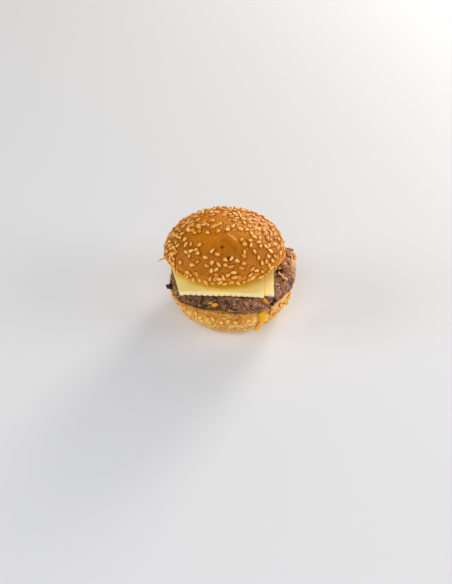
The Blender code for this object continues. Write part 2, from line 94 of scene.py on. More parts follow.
CRAG_ANGLE = 6  # degrees round the patty, where its edge is broken open
CRAG_SPREAD = 26
CRAG_X = (23.5 * MM, 27.5 * MM)
CRAG_RISE = 1.8 * MM
CRAG_ROUGH = 1.0 * MM
KNOB_SIZE = 3.6 * MM
KNOB_HEIGHT = 1.6 * MM
SEAM_DEPTH = 0.5 * MM
CAVITY_AT = (24.6 * MM, -7.0 * MM)  # the hollow in the broken edge, painted near black as shade
CAVITY_SIZE = (1.9 * MM, 2.4 * MM)
CAVITY_DEPTH = 2.4 * MM

# Bits on the meat: centre and radii in millimetres, then how burnt, how golden and how pale each is
BITS = (
    ((-31.8, -14.0, 22.2), (2.5, 1.8, 1.5), 1.0, 0.0, 0.0),
    ((-30.4, -12.8, 24.0), (1.5, 1.3, 1.2), 0.8, 0.1, 0.0),
    ((32.9, 3.6, 27.7), (1.3, 1.2, 2.2), 0.0, 1.0, 0.0),
    ((32.2, 5.4, 28.4), (1.0, 0.9, 1.0), 0.0, 0.6, 0.0),
    ((29.6, 3.4, 29.2), (1.0, 0.7, 0.8), 0.0, 0.9, 0.0),
    ((28.2, 3.8, 28.6), (0.9, 0.8, 0.7), 0.9, 0.0, 0.0),
    ((24.7, -6.6, 28.2), (0.9, 0.8, 0.7), 0.0, 0.8, 0.0),
    ((30.0, 9.0, 28.2), (2.2, 1.2, 0.9), 0.2, 0.3, 0.2),
    ((31.4, -3.0, 28.2), (1.8, 1.7, 1.6), 0.0, 0.25, 0.8),
    ((29.6, -0.6, 29.0), (1.5, 1.2, 1.0), 0.0, 0.0, 0.6),
    ((27.4, -3.4, 28.9), (1.3, 1.0, 0.9), 0.0, 0.0, 0.8),
    ((31.0, -6.6, 28.3), (1.4, 1.2, 1.0), 0.1, 0.0, 0.5),
    ((32.0, -10.6, 26.8), (1.2, 1.6, 1.5), 0.0, 0.1, 0.5),
    ((28.0, -15.6, 28.2), (0.9, 0.6, 0.5), 0.0, 0.9, 0.4),
    ((-8.9, -28.9, 22.0), (1.6, 0.5, 1.2), 0.0, 0.8, 0.1),
    ((-10.8, -28.8, 23.2), (1.0, 0.4, 0.5), 0.0, 0.7, 0.1),
    ((16.6, -30.5, 26.4), (0.9, 0.7, 1.2), 0.0, 0.8, 0.0),
    ((17.6, -30.1, 25.0), (0.7, 0.6, 1.0), 0.0, 0.7, 0.0),
    ((22.2, -26.2, 22.6), (0.9, 0.7, 1.1), 1.0, 0.0, 0.0),
    ((21.0, -27.3, 21.2), (0.9, 0.6, 0.8), 1.0, 0.0, 0.1),
    ((19.4, -28.9, 19.9), (0.5, 0.5, 0.6), 0.9, 0.1, 0.0),
    ((18.0, -29.4, 23.8), (1.3, 0.6, 1.0), 0.1, 0.35, 0.0),
    ((-20.5, -25.6, 25.6), (1.0, 0.7, 0.6), 1.0, 0.0, 0.0),
    ((-14.6, -29.2, 26.6), (0.8, 0.5, 0.5), 1.0, 0.0, 0.0),
)
# Pale strands of the broken edge: both ends and the radius in millimetres
STRANDS = (
    ((23.6, -10.4, 28.6), (28.4, -15.6, 28.2), 0.6),
    ((27.0, -2.6, 28.8), (30.0, 3.4, 28.8), 0.5),
)
LUMP_RINGS = 14
LUMP_SIDES = 20
LUMP_UNEVEN = 0.42
STRAND_STEPS = 26
STRAND_SIDES = 14
STRAND_WANDER = 0.7 * MM
STRAND_KIND = (0.0, 0.15, 0.9)  # how burnt, golden and pale

# The two slices of cheese
SLICE_THICK = 2.0 * MM
SLICE_ROWS = 60
SLICE_GRADING = 1.4  # crowds the rows towards the front edge
SLICE_BEVEL = 0.22 * MM
SCALLOP = 2.9 * MM  # spacing of the waves that the ridged knife left on the front edge
SCALLOP_DEPTH = 0.45 * MM
SCALLOP_STEPS = 14
DROOP = 14.0  # metres of sag for each square metre of overhang
# Corners of a slice: front left, front right, rear right, rear left
UPPER_SLICE = np.array(((-26.2, -30.0), (16.2, -33.4), (16.8, 5.0), (-32.4, 1.0))) * MM
LOWER_SLICE = np.array(((-21.0, -28.2), (21.4, -29.4), (21.6, 9.0), (-21.6, 8.6))) * MM
STEP_START_X = -32.0 * MM  # the upper slice comes down off the lower one between these
STEP_END_X = -22.2 * MM
CROWN_SHADE_REACH = (24.4 * MM, 31.6 * MM)  # from the crown's axis, between which the painted shade and orange bounce light under it fade
# Specks on the cheese: place and radius in millimetres
CHEESE_SPECKS = (
    ((-20.7, -29.0, 31.5), 0.32),
    ((7.4, -27.0, 32.2), 0.26),
    ((17.0, -31.0, 29.5), 0.30),
    ((20.6, -27.6, 30.0), 0.26),
    ((21.3, -24.0, 30.3), 0.22),
)

# The upper half of the bun
CROWN_CENTRE = np.array((-3.5, -0.9, 33.0)) * MM  # middle of its cut face
CROWN_TILT = math.radians(9.0)  # its front edge is lifted
CROWN_ROLL = math.radians(0.8)  # and its right edge
CROWN_CUT_R = 30.7 * MM
CROWN_WIDE_R = 31.2 * MM
CROWN_WIDE_Z = 1.4 * MM
CROWN_DOME = 20.2 * MM  # height above the widest level
CROWN_FULLNESS = 2.0  # exponent of the dome's curve; 2 is an ellipse
CROWN_WAVES = ((2, 0.015, 3.1), (3, 0.014, -1.7), (4, 0.004, -0.7))
CRUST_COLUMNS = 360
DENT_AT = (-2.0 * MM, -20.5 * MM)  # the shallow dent under the fold on the dome's front
DENT_SIZE = (8.0 * MM, 5.5 * MM)
DENT_DEPTH = 0.8 * MM
FOLD_START = (1.5 * MM, -14.3 * MM)
FOLD_SLOPE = 0.9  # how far its right arm comes forward for each step to the right
FOLD_ELBOW = 1.5 * MM
FOLD_RISE = 0.9 * MM
FOLD_LIP = (1.0 * MM, 0.4 * MM)  # how far its lip spreads above and below the line
FOLD_BOWL = 0.6 * MM  # depth of the bowl under it
FOLD_BOWL_SIZE = 2.6 * MM
FOLD_FADES = ((-9 * MM, 0), (3.5 * MM, 6 * MM))  # it sets in and fades out between these, from its start
THICKEN_Y = (-16 * MM, -2 * MM)  # the seeds lie closer from the first towards the second
FRONT_DENSITY = 0.5
LEAST_DENSITY = 0.02
BARE_AT = (-3.2 * MM, -16.4 * MM)  # where the dome's front has hardly any seeds
BARE_SIZE = (10.5 * MM, 7.2 * MM)
FOLD_CLEAR_AT = (2.2 * MM, -19.5 * MM)  # an oval under the fold with no seeds
FOLD_CLEAR_SIZE = (5.0 * MM, 3.2 * MM)
CROWD_AT = (-8.3 * MM, -28.0 * MM)  # where some are crowded together
CROWD_SIZE = 4.5 * MM
RIM_SEED_SHARE = 0.2  # of the seeds are on the rim, below the widest level
RIM_SEED_Z = 0.7 * MM
PRESS_MARGIN = 5.5 * MM  # the bread is pressed in this far around the slices
PRESS_GAP = 0.45 * MM
# Small marks on the crust, in millimetres: place on the dome, radius and depth; then how burnt
CROWN_MARKS = (
    ((-1.2, -21.0), 1.0, 0.40, 1.0),
    ((-2.7, -24.9), 0.5, 0.20, 0.7),
    ((-0.7, -25.0), 0.5, 0.20, 0.7),
    ((2.1, -26.8), 1.0, 0.50, 1.2),
    ((-15.5, -19.1), 1.3, 0.30, 0.9),
    ((-17.3, -17.9), 0.9, 0.20, 0.8),
    ((-13.6, -19.9), 0.8, 0.20, 0.7),
    ((19.1, -0.3), 1.0, 0.50, 1.2),
)

# Sesame seeds
SEED_LENGTH = 3.3 * MM
SEED_WIDTH = 1.85 * MM
SEED_THICK = 1.35 * MM
SEED_SIZES = ((0.82, 0.85, 0.8), (1.14, 1.25, 1.2))  # least and greatest, as shares of the three above
SEED_TIP = 0.22  # how far a seed tips, as a slope
SEED_LIFTS = (-0.16, 0.20)  # in millimetres, how much deeper or higher one lies than the next
SEED_TONE = 0.8  # the most that chance gives; 1 is toasted
CROWN_SEED_BRIM = 0.18 * MM  # height of a seed's middle above the crust
HEEL_SEED_BRIM = -0.16 * MM
CROWN_LOW_SEED_SHADE = 0.22  # painted shade: how much darker the crown's low seeds are
LOW_SEED_SHADE_Z = (7 * MM, 18 * MM)  # this painted shade fades between these
SEED_SPACING = 2.6 * MM  # from the next seed's middle, at least
SEED_RINGS = 5
SEED_SIDES = 10
CROWN_SEEDS = 166
HEEL_SEEDS = 82
CROWN_EXTRA_SEEDS = 230  # closer ones, between those that the solids have too
HEEL_EXTRA_SEEDS = 110
EXTRA_SPACING = 2.0 * MM
# Sockets on the heel that have lost their seed: degrees round it, then height and radius in millimetres
LOST_SEEDS = (
    (-21, 13.8, 1.3),
    (-27, 11.2, 1.2),
    (-34, 13.4, 1.4),
    (-36, 10.2, 1.3),
    (-44, 12.2, 1.4),
    (-52, 14.0, 1.2),
    (-50, 9.8, 1.3),
    (-31, 8.0, 1.2),
    (-43, 7.4, 1.2),
    (-55, 6.4, 1.1),
    (-73, 11.6, 0.9),
    (-84, 12.6, 0.8),
    (-128, 12.0, 1.0),
)
MORE_LOST_SEEDS = 36  # at random places round its sides and its rear
MORE_LOST_SPANS = ((-15, 215), (4, 14), (0.8, 1.3))  # for the same three values
LOST_RIM = 0.22 * MM  # how high the rim of such a socket stands, and how deep its hollow is
LOST_HOLLOW = 0.38 * MM
SOCKET_SWELL = 0.10 * MM  # of the crust round a seed
SOCKET_GROOVE = 0.20 * MM
HEEL_SEED_LOW = 2.4 * MM
HEEL_SEED_HIGH = 14.4 * MM
HEEL_THICKEN_Z = (6.0 * MM, HEEL_SEED_HIGH)  # the seeds lie closer below these levels
HEEL_THICKEN_AT = (-115, 70)  # degrees: where they lie closer, and over how much
HEEL_DENSITIES = (0.3, 0.4, 0.3)  # anywhere, added there, and added low down
STRIP_BARE = 12  # degrees to either side of the onion strip without seeds

# The strips of onion
STRIP_ANGLE = math.radians(-62.0)  # round the heel, where it hangs out
STRIP_LEAN = 0.1 * MM  # how far its lower end lies towards the front
STRIP_BOW = 0.1 * MM
STRIP_WIDTH = 3.0 * MM
STRIP_FLARE = 0.8 * MM  # how much wider it is at its top
STRIP_THICK = 1.1 * MM
STRIP_CLEAR = 0.45 * MM  # between its back and the crust
STRIP_TOP_Z = HEEL_CUT_Z - 0.1 * MM
STRIP_END_Z = 1.5 * MM
STRIP_FREE_Z = 3.2 * MM  # below this it hangs free of the crust
STRIP_STEPS = 90
WISP_START = np.array((-29.4, 4.6, 27.3)) * MM
WISP_END = np.array((-38.8, 2.4, 26.0)) * MM
WISP_ARCH = 0.9 * MM
WISP_THICK = 0.8 * MM
WISP_STEPS = 40
FIBRE = 0.06 * MM  # height of the onion's fibres

# The camera looks down at the front
CAMERA_AIM = np.array((-2.9, 0.0, 7.2)) * MM
CAMERA_PITCH = math.radians(38.85)
CAMERA_AWAY = 800 * MM
CAMERA_LENS = 92.97

# Soft lights: name, place, width of the square, watts and tint
LIGHTS = (
    ("window_low", (0.45, 0.80, 0.28), 0.28, 6.4, (1, 0.93, 0.82)),
    ("window_high", (0.42, 0.62, 0.52), 0.55, 1.9, (1, 0.95, 0.87)),
    ("front_bank", (-0.1, -0.55, 0.75), 0.6, 3.6, (1, 1, 1)),
    ("front_low", (0.0, -0.9, 0.16), 0.5, 1.5, (1, 1, 1)),
    ("left_bank", (-0.85, -0.1, 0.4), 0.5, 3.6, (1, 1, 1)),
    ("right_bank", (0.85, -0.15, 0.3), 0.5, 4.6, (1, 1, 1)),
)
LIGHT_AIM = (0, 0, 0.03)
SKY_STRENGTH = 0.06
FLOOR_HALF = 1.6  # metres, like the lights' places
FLOOR_Y = (-1.2, 1.0)
FLOOR_CURVE = 0.5  # radius of the bend behind


def cell_values(cells, salt):
    """A random value from 0 to 1 for each row of three whole numbers: odd multiples, mixed by shifts."""
    x, y, z = (cells[..., k].astype(np.int64).astype(np.uint64) for k in range(3))
    mixed = x * np.uint64(0x9E3779B97F4A7C15) + y * np.uint64(0xC2B2AE3D27D4EB4F)
    mixed = mixed + z * np.uint64(0x165667B19E3779F9) + np.uint64(salt * 0x27D4EB2F165667C5 % 2**64)
    for shift in (31, 29):
        mixed = (mixed ^ (mixed >> np.uint64(shift))) * np.uint64(0xD6E8FEB86659FD93)
    return (mixed >> np.uint64(11)).astype(float) / 2**53


def value_noise(points, size, salt):
    """Smooth random values from -1 to 1: the corner values of each cube, blended by a fifth-degree curve."""
    place = points / size
    cell = np.floor(place)
    t = place - cell
    t = t**3 * (t * (6 * t - 15) + 10)
    total = np.zeros(points.shape[:-1])
    for corner in np.ndindex(2, 2, 2):
        weight = np.prod(np.where(corner, t, 1 - t), axis=-1)
        total += weight * cell_values(cell + np.array(corner), salt)
    return 2 * total - 1


def layered_noise(points, size, salt):
    """Value noise plus two finer layers, each half the size and half the strength of the one before."""
    return sum(value_noise(points, size / 2**k, salt + k) / 2**k for k in range(3))


def nearest_grains(points, size, salt):
    """One random centre in each cube: distances to the nearest two, over the size, and the first's value."""
    place = points / size
    cell = np.floor(place)
    first = np.full(points.shape[:-1], 9.0)
    second = first.copy()
    own = np.zeros_like(first)
    for step in np.ndindex(3, 3, 3):
        near = cell + np.array(step) - 1
        centre = near + np.stack([cell_values(near, salt + k) for k in range(3)], axis=-1)
        away = np.linalg.norm(centre - place, axis=-1)
        closer = away < first
        second = np.where(closer, first, np.minimum(second, away))
        own = np.where(closer, cell_values(near, salt + 3), own)
        first = np.where(closer, away, first)
    return first, second, own


def smooth_step(value, start, end):
    """0 up to start, 1 from end on, and a smooth rise between."""
    t = np.clip((value - start) / (end - start), 0, 1)
    return t * t * (3 - 2 * t)


def hump(offset, spread):
    """A bell curve of height 1."""
    return np.exp(-((offset / spread) ** 2))


def turn_difference(a, b):
    """Degrees from angle b to angle a, between -180 and 180."""
    return (a - b + 180) % 360 - 180


def waviness(angle, waves):
    """How much larger than round an outline is at this angle, as a factor."""
    return 1 + sum(share * np.cos(count * angle + phase) for count, share, phase in waves)


def grid_normals(points):
    """Unit normals of a grid that is closed from column to column, from the differences of its neighbours."""
    along = np.gradient(points, axis=0)
    around = np.roll(points, -1, axis=1) - np.roll(points, 1, axis=1)
    normal = np.cross(around, along)
    return normal / np.maximum(np.linalg.norm(normal, axis=-1, keepdims=True), 1e-12)


def bump_field(x, y, at, size):
    """A bell curve over the plane, of height 1."""
    return hump(x - at[0], size[0]) * hump(y - at[1], size[1])


def add_mesh(name, points, faces, material, attributes=None):
    """A smooth object of these points and faces, with a value for each point in each attribute."""
    mesh = bpy.data.meshes.new(name)
    mesh.from_pydata(points.reshape(-1, 3).tolist(), [], faces)
    for key, values in (attributes or {}).items():
        layer = mesh.attributes.new(key, "FLOAT", "POINT")
        layer.data.foreach_set("value", np.ascontiguousarray(values, np.float32).ravel())
    mesh.materials.append(material)
    mesh.shade_smooth()
    obj = bpy.data.objects.new(name, mesh)
    bpy.context.scene.collection.objects.link(obj)
    return obj


def ring_faces(rows, columns, start=0):
    """Quads of a grid whose last column joins its first, wound so that they face away from its axis."""
    low = start + np.arange((rows - 1) * columns).reshape(rows - 1, columns)
    after = np.roll(low, -1, axis=1)
    return np.stack([low, after, after + columns, low + columns], axis=-1).reshape(-1, 4).tolist()


def pole_faces(columns, pole, ring_start, lower):
    """A fan of triangles from one pole point to a ring."""
    here = ring_start + np.arange(columns)
    after = np.roll(here, -1)
    order = (after, here) if lower else (here, after)
    return np.stack([*order, np.full(columns, pole)], axis=-1).tolist()


def closed_skin(name, rows, poles, material, attributes):
    """A closed skin of rings, lowest first, with a pole point at either end. Attributes go with the rings."""
    count, columns = rows.shape[:2]
    points = np.concatenate([rows.reshape(-1, 3), np.array(poles)])
    faces = ring_faces(count, columns)
    faces += pole_faces(columns, count * columns, 0, True)
    faces += pole_faces(columns, count * columns + 1, (count - 1) * columns, False)
    values = {
        key: np.concatenate([layer.ravel(), [layer[0].mean(), layer[-1].mean()]])
        for key, layer in attributes.items()
    }
    return add_mesh(name, points, faces, material, values)


def wear(piece, node):
    """The piece stands for a node: the node's part is hidden and the piece rides on the root body."""
    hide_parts(node)
    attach(piece, "root")


def heel_radius(z, angle):
    """The crust's distance from the axis: a power curve below the widest level, a slight taper above it."""
    below = np.clip((HEEL_WIDE_Z - z) / HEEL_WIDE_Z, 0, 1)
    above = np.clip((z - HEEL_WIDE_Z) / (HEEL_CUT_Z - HEEL_WIDE_Z), 0, 1)
    radius = HEEL_WIDE_R - HEEL_TAPER * below**HEEL_TAPER_POWER - (HEEL_WIDE_R - HEEL_CUT_R) * above**2
    return radius * waviness(angle, HEEL_WAVES)


def crown_radius(z, angle):
    """The crust's distance from the crown's axis: tucked in below the widest level, a full curve above it."""
    below = np.clip(1 - z / CROWN_WIDE_Z, 0, 1)
    above = np.clip((z - CROWN_WIDE_Z) / CROWN_DOME, 0, 1)
    radius = CROWN_WIDE_R * (1 - above**CROWN_FULLNESS) ** (1 / CROWN_FULLNESS)
    radius = radius - (CROWN_WIDE_R - CROWN_CUT_R) * below**3
    return radius * waviness(angle, CROWN_WAVES)


def fold_parts(x, y):
    """The lip along a bent line, gentle above and steep below, and the bowl under it, from 0 to 1 each."""
    run = x - FOLD_START[0]
    bent = np.hypot(run, FOLD_ELBOW)
    line = FOLD_START[1] - FOLD_SLOPE * (run + bent) / 2
    slope = FOLD_SLOPE * (run / bent + 1) / 2
    above = (y - line) / np.hypot(1, slope)
    window = smooth_step(run, *FOLD_FADES[0]) * (1 - smooth_step(run, *FOLD_FADES[1]))
    lip = np.where(above > 0, hump(above, FOLD_LIP[0]), hump(above, FOLD_LIP[1]))
    return lip * window, hump(above + FOLD_BOWL_SIZE, FOLD_BOWL_SIZE) * window


def fold_relief(x, y):
    """The fold's lip and bowl, less the wide shallow dent."""
    lip, bowl = fold_parts(x, y)
    return FOLD_RISE * lip - FOLD_BOWL * bowl - DENT_DEPTH * bump_field(x, y, DENT_AT, DENT_SIZE)


def dome_point(climb, angle):
    """Points and normals of the dome in the crown's frame, climb 0 at the widest level and 1 at the top."""
    rise = np.sin(climb * math.pi / 2)
    radius = crown_radius(CROWN_WIDE_Z + CROWN_DOME * rise, angle)
    x = radius * np.cos(angle)
    y = radius * np.sin(angle)
    out = np.stack([x / CROWN_WIDE_R**2, y / CROWN_WIDE_R**2, rise / CROWN_DOME + 0 * x], axis=-1)
    out /= np.linalg.norm(out, axis=-1, keepdims=True)
    point = np.stack([x, y, CROWN_WIDE_Z + CROWN_DOME * rise + 0 * x], axis=-1)
    return point + out * fold_relief(x, y)[..., None], out


def crown_to_world(points):
    """Raises the crown's right by the roll and its front by the tilt, then moves it to its centre."""
    c, s = math.cos(CROWN_ROLL), math.sin(CROWN_ROLL)
    rolled = points @ np.array(((c, 0, s), (0, 1, 0), (-s, 0, c)))
    c, s = math.cos(CROWN_TILT), math.sin(CROWN_TILT)
    return rolled @ np.array(((1, 0, 0), (0, c, -s), (0, s, c))) + CROWN_CENTRE


def crown_seed_density(x, y):
    """Close over the top and the rear, thinner at the front, bare round the fold, crowded at one place."""
    rear = smooth_step(y, *THICKEN_Y)
    bare = bump_field(x, y, BARE_AT, BARE_SIZE)
    crowd = bump_field(x, y, CROWD_AT, (CROWD_SIZE, CROWD_SIZE))
    density = (FRONT_DENSITY + (1 - FRONT_DENSITY) * rear) * (1 - bare) + crowd
    return min(1.0, max(LEAST_DENSITY, density))


def clear_of_fold(point):
    """Whether a place lies outside the oval under the fold that has no seeds."""
    aside = (point[0] - FOLD_CLEAR_AT[0]) / FOLD_CLEAR_SIZE[0]
    return math.hypot(aside, (point[1] - FOLD_CLEAR_AT[1]) / FOLD_CLEAR_SIZE[1]) > 1


def crown_seed_proposal(draw):
    """A random place on the dome, or now and then on the tucked rim, with its normal and density."""
    angle = draw.uniform(0, TURN)
    if draw.random() < RIM_SEED_SHARE:
        z = draw.uniform(RIM_SEED_Z, CROWN_WIDE_Z)
        radius = crown_radius(z, angle)
        point = np.array((radius * math.cos(angle), radius * math.sin(angle), z))
        normal = np.array((math.cos(angle), math.sin(angle), -0.1))
    else:
        point, normal = dome_point(2 / math.pi * math.asin(draw.random()), angle)
    return point, normal / np.linalg.norm(normal), crown_seed_density(point[0], point[1])


def heel_seed_proposal(draw):
    """A random place on the heel's side, likeliest near its base and at the front left."""
    angle = draw.uniform(0, TURN)
    z = draw.uniform(HEEL_SEED_LOW, HEEL_SEED_HIGH)
    radius = heel_radius(z, angle)
    slope = (heel_radius(z + MM, angle) - heel_radius(z - MM, angle)) / (2 * MM)
    normal = np.array((math.cos(angle), math.sin(angle), -slope))
    degrees = math.degrees(angle)
    front_left = hump(turn_difference(degrees, HEEL_THICKEN_AT[0]), HEEL_THICKEN_AT[1])
    low = 1 - smooth_step(z, *HEEL_THICKEN_Z)
    strip = hump(turn_difference(degrees, math.degrees(STRIP_ANGLE)), STRIP_BARE)
    anywhere, more_there, more_low = HEEL_DENSITIES
    density = (anywhere + more_there * front_left + more_low * low) * (1 - strip)
    point = np.array((radius * math.cos(angle), radius * math.sin(angle), z))
    return point, normal / np.linalg.norm(normal), max(LEAST_DENSITY, density)


def scatter(count, extra, propose, seed):
    """Draws places, likelier where they are dense: a count that keep the spacing, then extra ones, closer."""
    draw = random.Random(seed)
    kept = []
    while len(kept) < count + extra:
        spacing = SEED_SPACING if len(kept) < count else EXTRA_SPACING
        point, normal, density = propose(draw)
        if draw.random() > density:
            continue
        if all(np.linalg.norm(point - other) > spacing for other, _, _ in kept):
            kept.append((point, normal, draw.uniform(0, TURN)))
    return kept


def seed_frames(places):
    """For each seed a centre and three axes: along it, across it and up from the crust."""
    centres = np.array([point for point, _, _ in places])
    up = np.array([normal for _, normal, _ in places])
    turn = np.array([turn for _, _, turn in places])[:, None]
    side = np.cross(up, (0.0, 1.0, 0.02))
    side /= np.linalg.norm(side, axis=1, keepdims=True)
    ahead = np.cross(up, side)
    along = np.cos(turn) * side + np.sin(turn) * ahead
    across = np.cross(up, along)
    return centres, np.stack([along, across, up], axis=1)


def seed_form():
    """One seed, blunt at one end and pointed at the other, with flat faces.

    s runs from -1 to 1 along it. Its width is (1 + s) to the 0.5 times (1 - s) to the 0.8, and each ring is
    an oval whose sine and cosine are drawn towards 1, which flattens its faces.
    """
    s = np.cos(np.linspace(math.pi, 0, SEED_RINGS + 2))[1:-1, None]
    around = np.linspace(0, TURN, SEED_SIDES, endpoint=False)[None, :]
    width = (1 + s) ** 0.5 * (1 - s) ** 0.8 / 1.035
    cosine, sine = np.cos(around), np.sin(around)
    x = SEED_LENGTH / 2 * s + 0 * around
    y = SEED_WIDTH / 2 * width * np.sign(cosine) * np.abs(cosine) ** 0.85
    z = SEED_THICK / 2 * width**0.7 * np.sign(sine) * np.abs(sine) ** 0.75
    rings = np.stack([x, y, z], axis=-1)
    ends = np.array(((-SEED_LENGTH / 2, 0, 0), (SEED_LENGTH / 2, 0, 0)))
    points = np.concatenate([rings.reshape(-1, 3), ends])
    faces = ring_faces(SEED_RINGS, SEED_SIDES)
    faces += pole_faces(SEED_SIDES, SEED_RINGS * SEED_SIDES, 0, True)
    faces += pole_faces(SEED_SIDES, SEED_RINGS * SEED_SIDES + 1, (SEED_RINGS - 1) * SEED_SIDES, False)
    return points, [face[::-1] for face in faces]


def sow(name, places, salt, brim, low_shade, material, to_world):
    """One mesh of all seeds: the form times each seed's own size, laid on its axes, tipped and raised.

    Its tone rises with chance, and with painted shade where it lies low.
    """
    form, faces = seed_form()
    centres, axes = seed_frames(places)
    count = len(places)
    chance = np.random.default_rng(salt)
    size = chance.uniform(*SEED_SIZES, (count, 3))
    tip = chance.normal(0, SEED_TIP, (count, 2))
    axes = axes.copy()
    axes[:, 0] += tip[:, :1] * axes[:, 2]
    axes[:, 1] += tip[:, 1:] * axes[:, 2]
    axes[:, 2] = np.cross(axes[:, 0], axes[:, 1])
    axes /= np.linalg.norm(axes, axis=2, keepdims=True)
    raised = brim + chance.uniform(*SEED_LIFTS, (count, 1)) * MM
    local = form[None, :, :] * size[:, None, :]
    points = np.einsum("nvk,nkj->nvj", local, axes) + (centres + axes[:, 2] * raised)[:, None, :]
    points = to_world(points.reshape(-1, 3))
    starts = range(0, count * len(form), len(form))
    joined = [[corner + start for corner in face] for start in starts for face in faces]
    # painted shade: the crown's low seeds are darker
    low = 1 - smooth_step(centres[:, 2], *LOW_SEED_SHADE_Z)
    tone = np.repeat(chance.uniform(0, SEED_TONE, count) + low_shade * low, len(form))
    along = np.tile(form[:, 0] / SEED_LENGTH + 0.5, count)
    height = np.tile(form[:, 2] / SEED_THICK + 0.5, count)
    return add_mesh(name, points, joined, material, {"tone": tone, "along": along, "upper": height})


def seed_nearness(points, places):
    """For each point, how far it lies from the nearest seed, as a multiple of that seed's own outline."""
    centres, axes = seed_frames(places)
    reach = np.array((SEED_LENGTH, SEED_WIDTH, SEED_WIDTH)) / 2
    nearest = np.full(len(points), 9.0)
    for centre, frame_axes in zip(centres, axes):
        local = (points - centre) @ frame_axes.T / reach
        nearest = np.minimum(nearest, np.linalg.norm(local, axis=1))
    return nearest


def socket_relief(nearness):
    """A groove round each seed's outline, and a slight swell of crust outside it."""
    return SOCKET_SWELL * hump(nearness - 1.75, 0.35) - SOCKET_GROOVE * hump(nearness - 1.1, 0.28)


def lost_sockets(degrees, height):
    """The rims of sockets that have lost their seed, and their hollows, from 0 to 1 each."""
    draw = random.Random(17)
    sockets = list(LOST_SEEDS)
    for _ in range(MORE_LOST_SEEDS):
        sockets.append([draw.uniform(*span) for span in MORE_LOST_SPANS])
    rims, hollows = np.zeros(height.shape), np.zeros(height.shape)
    for at, level, radius in sockets:
        aside = np.radians(turn_difference(degrees, at)) * HEEL_WIDE_R
        away = np.hypot(aside, 1.25 * (height - level * MM)) / (radius * MM)
        rims = np.maximum(rims, hump(away - 1, 0.32))
        hollows = np.maximum(hollows, 1 - smooth_step(away, 0.5, 1.0))
    return rims, hollows


def patty_outline(degrees):
    """The meat's radius about its own centre: round, with a few swells."""
    swells = (size * hump(turn_difference(degrees, at), wide) for size, at, wide in PATTY_SWELLS)
    return PATTY_R + sum(swells)


def patty_top(y):
    """Height of the meat's flat top, which falls a little towards the rear."""
    return PATTY_FRONT_TOP + (PATTY_REAR_TOP - PATTY_FRONT_TOP) * (y + PATTY_R) / (2 * PATTY_R)


def lower_slice_base(x, y):
    """The lower slice follows the meat's top, and sags with the square of its overhang."""
    degrees = np.degrees(np.arctan2(y - PATTY_Y, x - PATTY_X))
    out = np.hypot(x - PATTY_X, y - PATTY_Y) - (patty_outline(degrees) - PATTY_EDGE)
    return patty_top(y) + GAP - DROOP * np.maximum(out, 0) ** 2


def upper_slice_base(x, y):
    """The upper slice lies on the lower one, and comes down onto the meat past its left edge."""
    return lower_slice_base(x, y) + (SLICE_THICK + GAP) * smooth_step(x, STEP_START_X, STEP_END_X)


def pressed(points):
    """Lifts the crown's cut face off the cheese and the meat that push into the soft bread."""
    place = crown_to_world(points)
    x, y = place[..., 0], place[..., 1]
    right = LOWER_SLICE[2][0] + PRESS_MARGIN
    over = (x > UPPER_SLICE[3][0] - PRESS_MARGIN) & (x < right) & (y < LOWER_SLICE[2][1] + PRESS_MARGIN)
    cheese = upper_slice_base(np.maximum(x, STEP_END_X), y) + SLICE_THICK
    support = np.where(over, cheese, patty_top(y))
    lift = np.maximum(0, support + PRESS_GAP - place[..., 2])
    return points + lift[..., None] * np.array((0, 0, 1.0))


def rings(radius, height, angle):
    """Points of rings about the z axis, each radius at its height."""
    return np.stack([radius * np.cos(angle), radius * np.sin(angle), height + 0 * radius], axis=-1)


